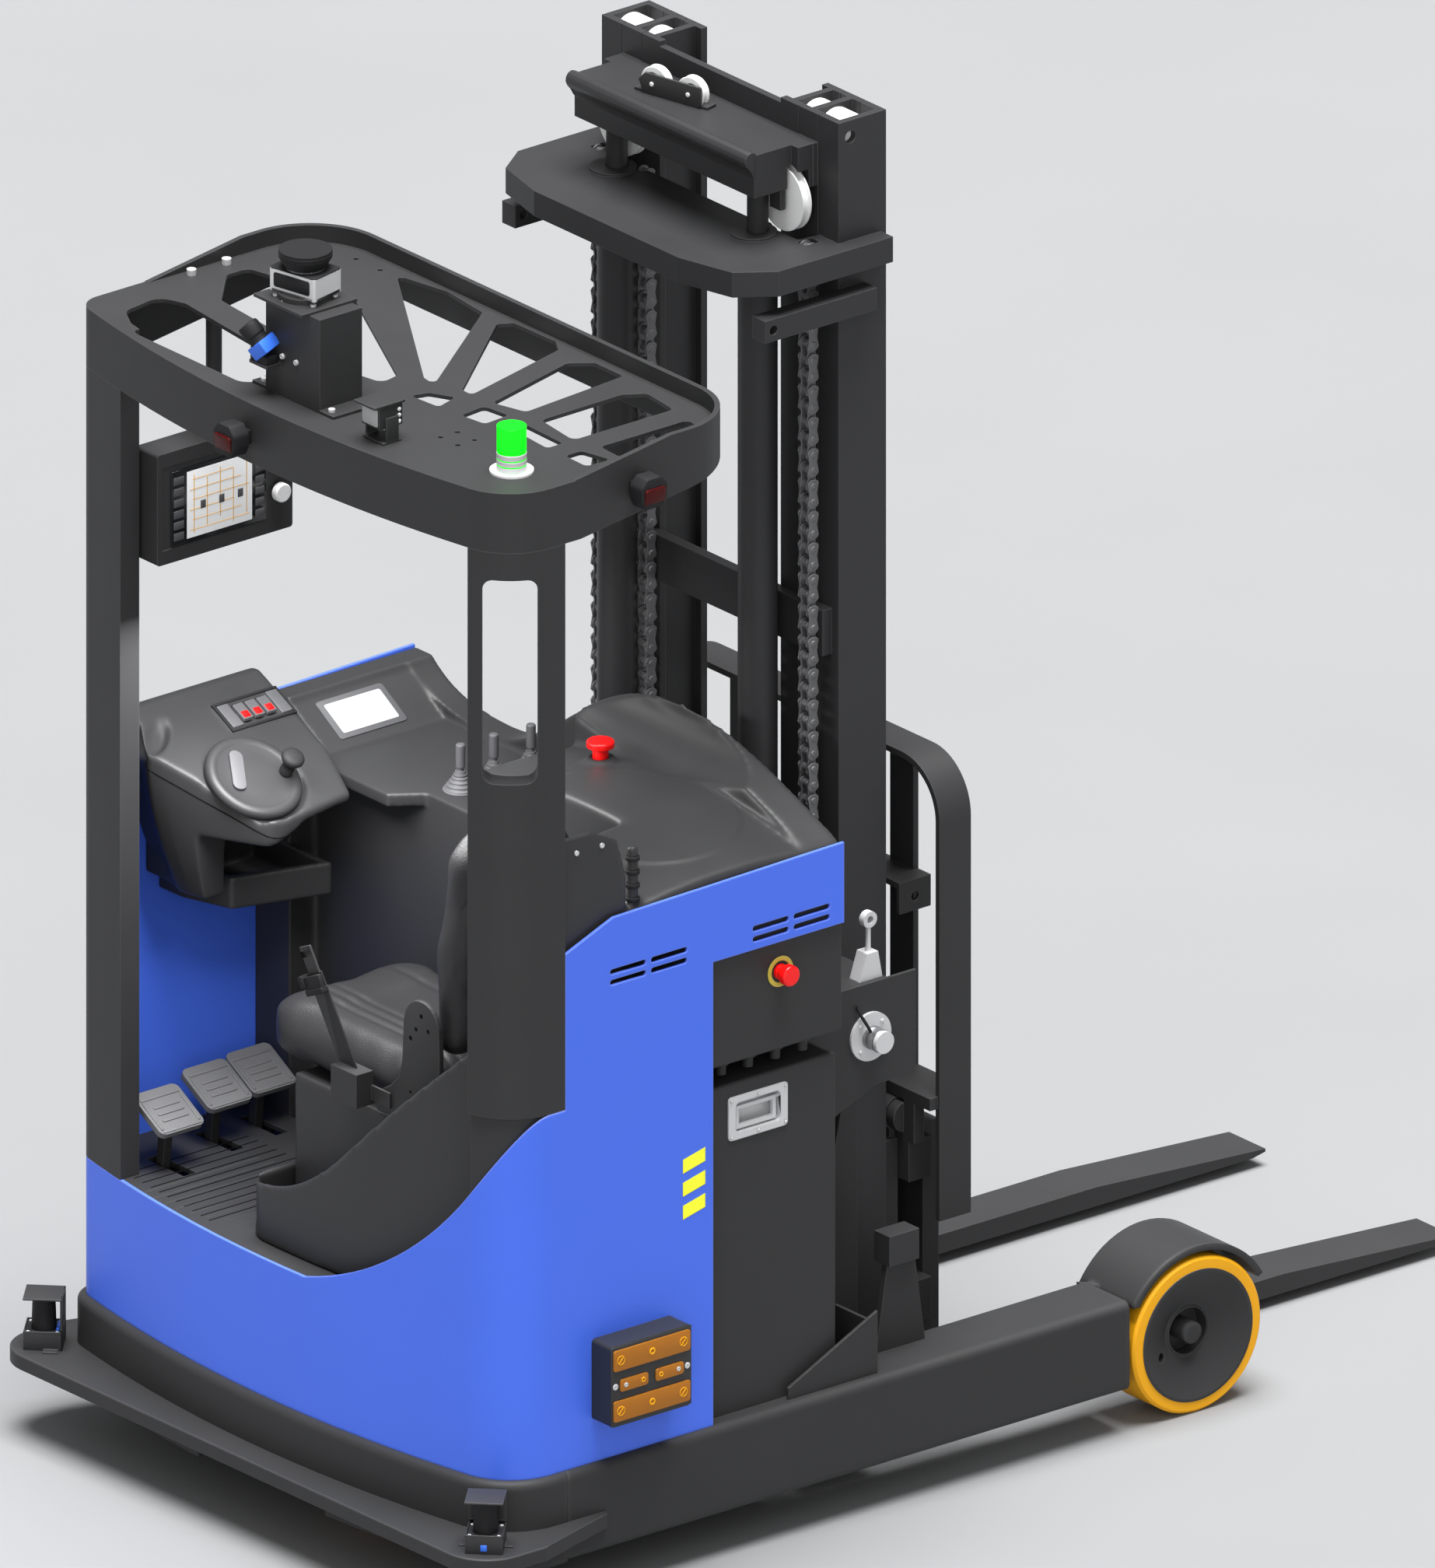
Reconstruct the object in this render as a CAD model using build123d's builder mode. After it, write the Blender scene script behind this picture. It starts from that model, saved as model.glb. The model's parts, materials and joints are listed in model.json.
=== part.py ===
from build123d import *
import os
from math import cos, radians, sin, tan

os.makedirs("parts", exist_ok=True)

# Frame: +X is the fork direction, +Y the truck's left side, +Z up, floor at Z = 0.
# The origin is under the middle of the truck's bounding box. All sizes are in millimetres.

# Straddle legs and load wheels
leg_side = 642.0
leg_width = 140.0
leg_bottom = 85.0
leg_top = 260.0
leg_edge = 14.0
leg_joint_x = -1042.0
load_axle_x = 451.0
load_wheel_diameter = 304.0
load_wheel_width = 108.0
tyre_thickness = 23.0
wheel_gap = 12.0
arm_thickness = 24.0
arm_nose = 62.0
axle_diameter = 42.0
bearing_clearance = 0.05
fender_thickness = 12.0
fender_width = 165.0
fender_front_angle = 29.0
channel_height = 96.0
channel_depth = 46.0

# Body outline in plan
body_side = 628.0
rear_bow_x = -1237.0
rear_corner_x = -1168.0
near_corner_radius = 118.0
far_corner_radius = 52.0
body_front_x = -377.0
door_front_x = -687.0
post_front_x = -1037.0
panel_wall = 6.0
floor_z = 532.0
floor_thickness = 10.0
rear_notch_half = 185.0
rear_notch_height = 50.0
deck_thickness = 20.0
skirt_wall = 46.0

# Side panel heights
panel_top_z = 1337.0
panel_top_rear_z = 1282.0
wing_bottom_z = 1178.0
vent_length = 86.0
vent_height = 11.0
vent_pitch_x = 97.0
vent_pitch_z = 21.0

# Sensor plate round the rear
plate_rear_x = -1309.0
plate_ledge = 70.0
plate_half_width = leg_side + plate_ledge
plate_bottom = 136.0
plate_thickness = 28.0
plate_corner = 88.0

# Battery and electronics
battery_side = 600.0
battery_front_x = -376.0
battery_top = 913.0
handle_x = -560.0
handle_z = 842.0
handle_width = 140.0
handle_height = 86.0
handle_plate_thickness = 3.0
handle_pocket_depth = 24.0
bail_wire = 8.0
bail_play = 0.05
box_bottom = 960.0
box_side = 618.0
estop_side_x = -521.0
estop_side_z = 1115.0
gland_diameter = 30.0
gland_flange_thickness = 8.0

estop_hole = 30.0
contact_x = -880.0
contact_z = 425.0
contact_width = 190.0
contact_height = 160.0
contact_depth = 56.0

# Posts and overhead guard
post_wall = 40.0
post_near_edge_y = -529.0
far_post_front_x = -1090.0
post_skin_bottom = 975.0
post_far_edge_y = 470.0
guard_top = 2215.0
guard_plate = 8.0
guard_front_x = -592.0
guard_band = 118.0
guard_band_front = 62.0
guard_wall = 10.0
guard_rim = 34.0
slot_width = 101.0
slot_height = 404.0
slot_centre_z = 1840.0
view_turn = -39.1

guard_corner = 150.0
guard_holes = ((-640.0, 470.0), (-640.0, 400.0), (-1070.0, -355.0), (-1070.0, -305.0), (-1030.0, -355.0), (-1030.0, -305.0))
rim_reach = 420.0
lamp_rear_x = -1237.0

# Hood, dash and steering console
alcove_x = -697.0
seat_clear_y = -372.0
shield_y = 600.0
estop_hood_x = -528.0
estop_hood_y = -104.0
hood_rear_x = -880.0
hood_split_y = 60.0
cowl_front_x = -377.0
bulkhead_x = -757.0
bulkhead_wall = 12.0
dash_top = 1258.0
dash_thickness = 26.0
cowl_top = 1334.0
console_tilt = 26.0
disc_diameter = 190.0
disc_thickness = 22.0
disc_tilt = 32.0
running_gap = 0.1
knob_diameter = 40.0
knob_height = 52.0
rocker_count = 3
rocker_pitch = 28.0
lever_count = 3
lever_pitch = 100.0
lever_height = 92.0

rocker_width = 22.0
rocker_length = 44.0
switch_length = 145.0
switch_height = 66.0
lever_places = ((-640.0, 166.0), (-561.0, 166.0), (-478.0, 160.0))
lever_well = 20.0
boot_height = 22.0
shelf_bottom = 1010.0
shelf_height = 63.0
alcove_y = 519.0
console_bottom = 1050.0
shaft_radius = 12.0
shaft_depth = 46.0
disc_plane = Plane(origin=(-955, 387, 1286), x_dir=(1, 0, 0), z_dir=(0, -sin(radians(32.0)), cos(radians(32.0))))
switch_plane = Plane(origin=(-842, 520, 1356.0), x_dir=(1, 0, 0), z_dir=(0, -sin(radians(26.0)), cos(radians(26.0))))

# Seat and pedals
seat_left_x = -1083.0
pod_grow = -50.0
pod_left_y = 136.0
seat_centre_x = -868.0
seat_width = 430.0
seat_front_y = 232.0
seat_rear_y = -258.0
seat_top = 950.0
seat_thickness = 112.0
seat_box_top = 830.0
back_height = 440.0
back_thickness = 96.0
pedal_count = 3
pedal_width = 104.0
pedal_length = 104.0
pedal_places = ((-1081.0, 466.0), (-935.0, 505.0), (-823.0, 515.0))

# Mast
mast_side = 345.0
rail_depth = 112.0
rail_rear_x = -160.0
rail_bottom = 118.0
mast_top = 2616.0
outer_rail_width = 58.0
middle_rail_width = 55.0
inner_rail_width = 52.0
rail_gap = 2.0
tie_thickness = 22.0
rail_web = 14.0
rail_flange = 14.0
roller_diameter = 80.0
roller_width = 30.0
reach_beam_top = 230.0
yoke_top = mast_top - 238.0
yoke_thickness = 50.0
yoke_rear_x = -430.0
tie_top = mast_top - 56.0
tie_height = 85.0
sheave_diameter = 118.0
sheave_width = 20.0
sheave_pin = 9.0
sheave_y = 236.0
sheave_x = -197.0
sheave_z = tie_top - 112.0
chain_width = 28.0
chain_depth = 13.0
lift_cylinder_x = -238.0
lift_cylinder_y = 205.0
lift_cylinder_diameter = 74.0
lift_rod_diameter = 40.0

cylinder_top = yoke_top - yoke_thickness

# Fork carriage, backrest and forks
tilt_x = 6.0
tilt_z = 604.0
tilt_pin = 30.0
head_bar_z = 640.0
fork_y = 273.0
fork_width = 106.0
fork_thickness = 38.0
fork_bottom = 21.0
fork_tip_x = 1309.0
shank_front_x = 92.0
shank_height = 520.0
backrest_side = 420.0
backrest_bar = 74.0
backrest_thickness = 12.0
backrest_top = 1316.0

# Drive wheel
drive_x = -905.0
drive_y = -120.0
drive_wheel_diameter = 340.0
drive_wheel_width = 110.0

wheel_z = load_wheel_diameter / 2
leg_height = leg_top - leg_bottom
leg_centre_y = leg_side - leg_width / 2
leg_inner = leg_side - leg_width
leg_front_x = load_axle_x - wheel_z - wheel_gap
arm_outer = leg_side - load_wheel_width - 6.0


def body_outline(grow, front_x):
    """Plan outline of the body, grown outward by a distance, with a bowed rear edge."""
    side = body_side + grow
    corner_x = rear_corner_x - grow
    with BuildSketch() as outline:
        with BuildLine():
            Line((front_x, -side), (corner_x, -side))
            ThreePointArc((corner_x, -side), (rear_bow_x - grow, 0), (corner_x, side))
            Polyline((corner_x, side), (front_x, side), (front_x, -side))
        make_face()
        near = outline.vertices().sort_by_distance((corner_x, -side))[0]
        fillet(near, near_corner_radius + grow)
        far = outline.vertices().sort_by_distance((corner_x, side))[0]
        fillet(far, max(far_corner_radius + grow, 8.0))
    return outline.sketch


def rear_step_cut():
    """Side view, in the YZ plane, of what is taken off the panel and left to the posts and the step."""
    with BuildSketch() as cut:
        with BuildLine():
            Line((700, 2600), (700, floor_z))
            Line((700, floor_z), (-110, floor_z))
            ThreePointArc((-110, floor_z), (-405, 683), (-body_side, 975))
            Polyline((-body_side, 975), (-700, 1010), (-700, 2600), (700, 2600))
        make_face()
    return cut.sketch


# Chassis: the skirt round the rear with the deck between the legs
skirt_grow = leg_side - body_side
drive_bay_radius = drive_wheel_diameter / 2 + 30.0
with BuildPart() as base_skirt:
    with BuildSketch(Plane.XY.offset(leg_bottom)):
        add(body_outline(skirt_grow, leg_joint_x))
    extrude(amount=leg_height)
    fillet(base_skirt.faces().sort_by(Axis.Z)[-1].edges().filter_by(GeomType.LINE, reverse=True), leg_edge)
    with BuildSketch(Plane.XY.offset(leg_bottom)):
        add(body_outline(skirt_grow - skirt_wall, leg_joint_x))
    extrude(amount=leg_height - deck_thickness, mode=Mode.SUBTRACT)
    with BuildSketch(Plane.XY.offset(leg_bottom)):
        with Locations((rear_bow_x, 0)):
            Rectangle(4 * skirt_wall, 2 * rear_notch_half)
    extrude(amount=rear_notch_height, mode=Mode.SUBTRACT)
    with BuildSketch(Plane.XY.offset(leg_top - deck_thickness)):
        with Locations(((leg_joint_x + battery_front_x) / 2, 0)):
            Rectangle(battery_front_x - leg_joint_x, 2 * leg_inner)
    extrude(amount=deck_thickness)
    with BuildSketch(Plane.XY.offset(leg_top - deck_thickness)):
        with Locations((drive_x, drive_y)):
            Circle(drive_bay_radius)
    extrude(amount=deck_thickness, mode=Mode.SUBTRACT)
base_skirt.part.label = "base_skirt"
export_step(base_skirt.part, "parts/base_skirt.step")

# Straddle legs, each with its wheel arm, stub axle and the fender over the wheel
fender_inner = wheel_z + wheel_gap
fender_outer = fender_inner + fender_thickness
with BuildPart() as straddle_legs:
    with BuildSketch(Plane.YZ.offset(leg_joint_x)):
        with Locations((-leg_centre_y, leg_bottom + leg_height / 2)):
            RectangleRounded(leg_width, leg_height, leg_edge)
    extrude(amount=leg_front_x - leg_joint_x)
    with BuildSketch(Plane.YZ.offset(battery_front_x)):
        with Locations((-leg_inner - channel_depth / 2, leg_bottom + leg_height / 2)):
            Rectangle(channel_depth, channel_height)
    extrude(amount=leg_front_x - battery_front_x - wheel_gap, mode=Mode.SUBTRACT)
    with BuildSketch(Plane.XZ.offset(leg_inner)):
        with BuildLine():
            Line((leg_front_x - wheel_gap, leg_bottom), (load_axle_x, wheel_z - arm_nose))
            ThreePointArc(
                (load_axle_x, wheel_z - arm_nose),
                (load_axle_x + arm_nose, wheel_z),
                (load_axle_x, wheel_z + arm_nose),
            )
            Line((load_axle_x, wheel_z + arm_nose), (leg_front_x - wheel_gap, leg_top))
            Line((leg_front_x - wheel_gap, leg_top), (leg_front_x - wheel_gap, leg_bottom))
        make_face()
    extrude(amount=arm_thickness)
    with BuildSketch(Plane.XZ.offset(leg_inner)):
        with Locations((load_axle_x, wheel_z)):
            Circle(axle_diameter / 2)
    extrude(amount=arm_thickness + load_wheel_width - 10.0)
    with BuildSketch(Plane.XZ.offset(leg_side - fender_width)):
        with BuildLine():
            front = radians(fender_front_angle)
            rear_drop = (leg_top - 18.0 - wheel_z) / fender_outer
            rear_outer_x = load_axle_x - fender_outer * (1 - rear_drop**2) ** 0.5
            rear_outer_z = leg_top - 18.0
            inner_drop = (leg_top - 18.0 - wheel_z) / fender_inner
            rear_inner_x = load_axle_x - fender_inner * (1 - inner_drop**2) ** 0.5
            tip_outer = (load_axle_x + fender_outer * cos(front), wheel_z + fender_outer * sin(front))
            tip_inner = (load_axle_x + fender_inner * cos(front), wheel_z + fender_inner * sin(front))
            ThreePointArc((rear_outer_x, rear_outer_z), (load_axle_x, wheel_z + fender_outer), tip_outer)
            Line(tip_outer, tip_inner)
            ThreePointArc(tip_inner, (load_axle_x, wheel_z + fender_inner), (rear_inner_x, rear_outer_z))
            Line((rear_inner_x, rear_outer_z), (rear_outer_x, rear_outer_z))
        make_face()
    extrude(amount=fender_width - 4.0)
    mirror(about=Plane.XZ)
straddle_legs.part.label = "straddle_legs"
export_step(straddle_legs.part, "parts/straddle_legs.step")

# Load wheels: a dished rim with a bearing seat and the tyre bonded round it
rim_radius = wheel_z - tyre_thickness
bearing_radius = axle_diameter / 2 + bearing_clearance
hub_bore_radius = 45.0
for side, name in ((-1, "load_wheel_right"), (1, "load_wheel_left")):
    outer = side * (leg_side - 2.0)
    inner = side * (leg_side - 2.0 - load_wheel_width)
    with BuildPart() as load_wheel:
        with BuildSketch(Plane((load_axle_x, 0, wheel_z), x_dir=(0, 1, 0), z_dir=(1, 0, 0))):
            with BuildLine():
                Polyline(
                    (inner, bearing_radius),
                    (inner, 58.0),
                    (inner + side * 24.0, 66.0),
                    (inner + side * 24.0, rim_radius - 18.0),
                    (inner, rim_radius - 10.0),
                    (inner, rim_radius),
                    (inner + side * 2.0, rim_radius),
                    (inner + side * 2.0, wheel_z - 5.0),
                    (inner + side * 7.0, wheel_z),
                    (outer - side * 7.0, wheel_z),
                    (outer - side * 2.0, wheel_z - 5.0),
                    (outer - side * 2.0, rim_radius),
                    (outer, rim_radius),
                    (outer, rim_radius - 6.0),
                    (outer - side * 34.0, hub_bore_radius + 6.0),
                    (outer - side * 30.0, hub_bore_radius),
                    (outer - side * 62.0, hub_bore_radius),
                    (outer - side * 62.0, bearing_radius),
                    (inner, bearing_radius),
                )
            make_face()
        revolve(axis=Axis((load_axle_x, 0, wheel_z), (0, 1, 0)))
        with BuildSketch(Plane.XZ):
            with Locations((load_axle_x - 70.0, wheel_z - 34.0)):
                Circle(9.0)
        extrude(amount=leg_side, both=True, mode=Mode.SUBTRACT)
    load_wheel.part.label = name
    export_step(load_wheel.part, f"parts/{name}.step")

# Sensor plate round the rear, resting against the skirt
with BuildPart() as sensor_plate:
    with BuildSketch(Plane.XY.offset(plate_bottom)) as plate_plan:
        with BuildLine():
            Polyline(
                (-900, -leg_side),
                (-950, -leg_side),
                (-960, -leg_side - 13),
                (-1150, -plate_half_width),
                (plate_rear_x, -plate_half_width),
                (plate_rear_x, plate_half_width),
                (-1150, plate_half_width),
                (-960, leg_side + 13),
                (-950, leg_side),
                (-900, leg_side),
                (-900, -leg_side),
            )
        make_face()
        fillet(plate_plan.vertices().group_by(Axis.X)[0], plate_corner)
        add(body_outline(skirt_grow, body_front_x), mode=Mode.SUBTRACT)
    extrude(amount=plate_thickness)
    chamfer(sensor_plate.faces().sort_by(Axis.Z)[-1].edges().group_by(Axis.X)[0], 2.0)
sensor_plate.part.label = "sensor_plate"
export_step(sensor_plate.part, "parts/sensor_plate.step")

# Safety scanners on the plate corners, each under a hood plate
scanner_x = -1238.0
scanner_y = 643.0
plate_top = plate_bottom + plate_thickness
with BuildPart() as safety_scanners:
    with Locations((scanner_x, -scanner_y, plate_top)):
        Box(84, 84, 42, align=(Align.CENTER, Align.CENTER, Align.MIN))
        Cylinder(38, 98, align=(Align.CENTER, Align.CENTER, Align.MIN))
        with Locations((14, 14, 0)):
            Box(30, 30, 98, align=(Align.CENTER, Align.CENTER, Align.MIN))
    with Locations((scanner_x, -scanner_y, plate_top + 98)):
        Cylinder(54, 10, align=(Align.CENTER, Align.CENTER, Align.MIN))
    mirror(about=Plane.XZ)
safety_scanners.part.label = "safety_scanners"
export_step(safety_scanners.part, "parts/safety_scanners.step")

# Blue body shell, open at the front, with the concave step edge toward the operator
with BuildPart() as body_shell:
    with BuildSketch(Plane.XY.offset(leg_top)):
        add(body_outline(0.0, body_front_x))
        add(body_outline(-panel_wall, body_front_x), mode=Mode.SUBTRACT)
    extrude(amount=panel_top_z - leg_top)
    with BuildSketch(Plane.YZ.offset(-1400)):
        add(rear_step_cut())
    extrude(amount=1400 + far_post_front_x, mode=Mode.SUBTRACT)
    with BuildSketch(Plane.YZ.offset(far_post_front_x)):
        add(rear_step_cut())
        with Locations((400, 1500)):
            Rectangle(800, 3000, mode=Mode.SUBTRACT)
    extrude(amount=post_front_x - far_post_front_x, mode=Mode.SUBTRACT)
    with BuildSketch(Plane.XZ):
        with BuildLine():
            Polyline(
                (-1300, panel_top_rear_z),
                (post_front_x, panel_top_rear_z),
                (-923, 1327),
                (-750, 1330),
                (body_front_x, panel_top_z),
                (body_front_x, 1500),
                (-1300, 1500),
                (-1300, panel_top_rear_z),
            )
        make_face()
    extrude(amount=700, both=True, mode=Mode.SUBTRACT)
    with BuildSketch(Plane.XZ):
        with Locations(((door_front_x + body_front_x) / 2, (leg_top + wing_bottom_z) / 2)):
            Rectangle(body_front_x - door_front_x, wing_bottom_z - leg_top)
    extrude(amount=700, both=True, mode=Mode.SUBTRACT)
    with BuildSketch(Plane.XZ):
        for group_x in (-839.5, -502.0):
            for column in (-0.5, 0.5):
                for row in (-0.5, 0.5):
                    with Locations((group_x + column * vent_pitch_x, 1209 + row * vent_pitch_z)):
                        SlotOverall(vent_length, vent_height)
    extrude(amount=700, both=True, mode=Mode.SUBTRACT)
body_shell.part.label = "body_shell"
export_step(body_shell.part, "parts/body_shell.step")

# Cab floor with grooves and the slots for the pedal stems
with BuildPart() as cab_floor:
    with BuildSketch(Plane.XY.offset(floor_z - floor_thickness)):
        add(body_outline(-panel_wall, bulkhead_x))
    extrude(amount=floor_thickness)
    with BuildSketch(Plane.XY.offset(floor_z - 1.5)):
        for row in range(8):
            with Locations((-1080 + row * 8, 396 - row * 33)):
                Rectangle(300, 4)
    extrude(amount=2, mode=Mode.SUBTRACT)
    with BuildSketch(Plane.XY.offset(floor_z - floor_thickness)):
        for pedal_x, pedal_y in pedal_places:
            with Locations((pedal_x, pedal_y)):
                Rectangle(30, 110)
    extrude(amount=floor_thickness, mode=Mode.SUBTRACT)
    for pedal_x, pedal_y in pedal_places:
        for side in (-1, 1):
            with Locations((pedal_x + side * 30, pedal_y + 29, floor_z - floor_thickness)):
                Box(10, 34, 68, align=(Align.CENTER, Align.CENTER, Align.MAX))
        with BuildSketch(Plane.YZ.offset(pedal_x - 40)):
            with Locations((pedal_y + 29, floor_z - 60)):
                Circle(8 + running_gap / 2)
        extrude(amount=80, mode=Mode.SUBTRACT)
cab_floor.part.label = "cab_floor"
export_step(cab_floor.part, "parts/cab_floor.step")

# Pedals: a pad on a stem hinged on a cross pin below the floor
for index, (pedal_x, pedal_y) in enumerate(pedal_places):
    with BuildPart() as pedal:
        with BuildSketch(Plane.YZ.offset(pedal_x - 9)):
            with BuildLine():
                Polyline(
                    (pedal_y + 20, floor_z - 60),
                    (pedal_y + 38, floor_z - 60),
                    (pedal_y + 22, floor_z + 100),
                    (pedal_y + 2, floor_z + 100),
                    (pedal_y + 20, floor_z - 60),
                )
            make_face()
        extrude(amount=18)
        with BuildSketch(Plane.YZ.offset(pedal_x - 34)):
            with Locations((pedal_y + 29, floor_z - 60)):
                Circle(8)
        extrude(amount=68)
        with BuildSketch(Plane(origin=(pedal_x, pedal_y + 12, floor_z + 100), x_dir=(1, 0, 0), z_dir=(0, -0.5, 0.866))):
            RectangleRounded(pedal_width, pedal_length, 14)
        extrude(amount=12)
    pedal.part.label = f"pedal_{index + 1}"
    export_step(pedal.part, f"parts/pedal_{index + 1}.step")

# Battery block with a handle plate and pocket, and the bail that lies in the pocket
bail_x = handle_width / 2 - 26.0
bail_axis_y = -battery_side + 8.0
bail_axis_z = handle_z + 16.0
with BuildPart() as battery:
    with BuildSketch(Plane.XY.offset(leg_top)):
        with Locations(((door_front_x + battery_front_x) / 2, 0)):
            Rectangle(battery_front_x - door_front_x, 2 * battery_side)
    extrude(amount=battery_top - leg_top)
    fillet(battery.faces().sort_by(Axis.Z)[-1].edges(), 6.0)
    with BuildSketch(Plane.XZ.offset(battery_side)):
        with Locations((handle_x, handle_z)):
            RectangleRounded(handle_width, handle_height, 8.0)
    extrude(amount=handle_plate_thickness)
    with BuildSketch(Plane.XZ.offset(battery_side - handle_pocket_depth)):
        with Locations((handle_x, handle_z)):
            RectangleRounded(2 * bail_x + 18.0, handle_height - 26.0, 10.0)
    extrude(amount=handle_pocket_depth + handle_plate_thickness, mode=Mode.SUBTRACT)
    with BuildSketch(Plane.YZ.offset(handle_x - bail_x - 17.0)):
        with Locations((bail_axis_y, bail_axis_z)):
            Circle(bail_wire / 2 + bail_play)
    extrude(amount=2 * bail_x + 34.0, mode=Mode.SUBTRACT)
battery.part.label = "battery"
export_step(battery.part, "parts/battery.step")

with BuildPart() as handle_bail:
    with BuildSketch(Plane.YZ.offset(handle_x - bail_x - 16.0)):
        with Locations((bail_axis_y, bail_axis_z)):
            Circle(bail_wire / 2)
    extrude(amount=2 * bail_x + 32.0)
    with BuildSketch(Plane.XZ.offset(-bail_axis_y - bail_wire / 2)):
        with Locations((handle_x, bail_axis_z - 19.0)):
            Rectangle(2 * bail_x + bail_wire, 38.0 + bail_wire)
            Rectangle(2 * bail_x - bail_wire, 38.0 - bail_wire, mode=Mode.SUBTRACT)
    extrude(amount=bail_wire)
handle_bail.part.label = "handle_bail"
export_step(handle_bail.part, "parts/handle_bail.step")

# Electronics box over the battery, with cable glands in the gap beneath it
with BuildPart() as electronics_box:
    with Locations(((door_front_x + battery_front_x) / 2, 0, box_bottom)):
        Box(
            battery_front_x - door_front_x,
            2 * box_side,
            dash_top - dash_thickness - box_bottom,
            align=(Align.CENTER, Align.CENTER, Align.MIN),
        )
    fillet(electronics_box.edges().filter_by(Axis.X).group_by(Axis.Z)[0], 6.0)
    with Locations(((door_front_x + battery_front_x) / 2, 0, box_bottom + 8)):
        Box(
            battery_front_x - door_front_x - 16,
            2 * box_side - 84,
            400,
            align=(Align.CENTER, Align.CENTER, Align.MIN),
            mode=Mode.SUBTRACT,
        )
    with Locations((estop_side_x, -box_side, estop_side_z)):
        with Locations(Rotation(90, 0, 0)):
            Cylinder(estop_hole / 2, 60, mode=Mode.SUBTRACT)
    for gland in range(4):
        with Locations((door_front_x + 60 + gland * 64, -box_side + 42, box_bottom)):
            Cylinder(gland_diameter / 2, 14, align=(Align.CENTER, Align.CENTER, Align.MAX))
            Cylinder(gland_diameter / 2 - 5, 34, align=(Align.CENTER, Align.CENTER, Align.MAX))
electronics_box.part.label = "electronics_box"
export_step(electronics_box.part, "parts/electronics_box.step")

# Emergency stop on the box face: yellow ring, stem and mushroom cap
with BuildPart() as estop_side:
    with BuildSketch(Plane(origin=(estop_side_x, -box_side, estop_side_z), x_dir=(1, 0, 0), z_dir=(0, -1, 0))):
        Circle(estop_hole / 2 - running_gap)
    extrude(amount=-18)
    with BuildSketch(Plane(origin=(estop_side_x, -box_side - 6, estop_side_z), x_dir=(1, 0, 0), z_dir=(0, -1, 0))):
        Circle(estop_hole / 2 - running_gap)
    extrude(amount=-8)
    with BuildSketch(Plane(origin=(estop_side_x, -box_side - 6, estop_side_z), x_dir=(1, 0, 0), z_dir=(0, -1, 0))):
        Circle(12)
    extrude(amount=14)
    with BuildSketch(Plane(origin=(estop_side_x, -box_side - 20, estop_side_z), x_dir=(1, 0, 0), z_dir=(0, -1, 0))):
        Circle(20)
    extrude(amount=16)
    fillet(estop_side.faces().sort_by(Axis.Y)[0].edges(), 5.0)
estop_side.part.label = "estop_side"
export_step(estop_side.part, "parts/estop_side.step")

# Charging contact box on the body side, four contact plates
with BuildPart() as charging_contacts:
    with Locations((contact_x, -body_side, contact_z)):
        Box(contact_width, contact_depth, contact_height, align=(Align.CENTER, Align.MAX, Align.CENTER))
    fillet(charging_contacts.edges().filter_by(Axis.Y), 8.0)
    with BuildSketch(Plane.XZ.offset(body_side + contact_depth)):
        for step, length in ((-1.5, 100), (-0.5, 150), (0.5, 150), (1.5, 100)):
            with Locations((contact_x, contact_z + step * 34)):
                Rectangle(length, 20)
    extrude(amount=4)
charging_contacts.part.label = "charging_contacts"
export_step(charging_contacts.part, "parts/charging_contacts.step")

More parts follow.
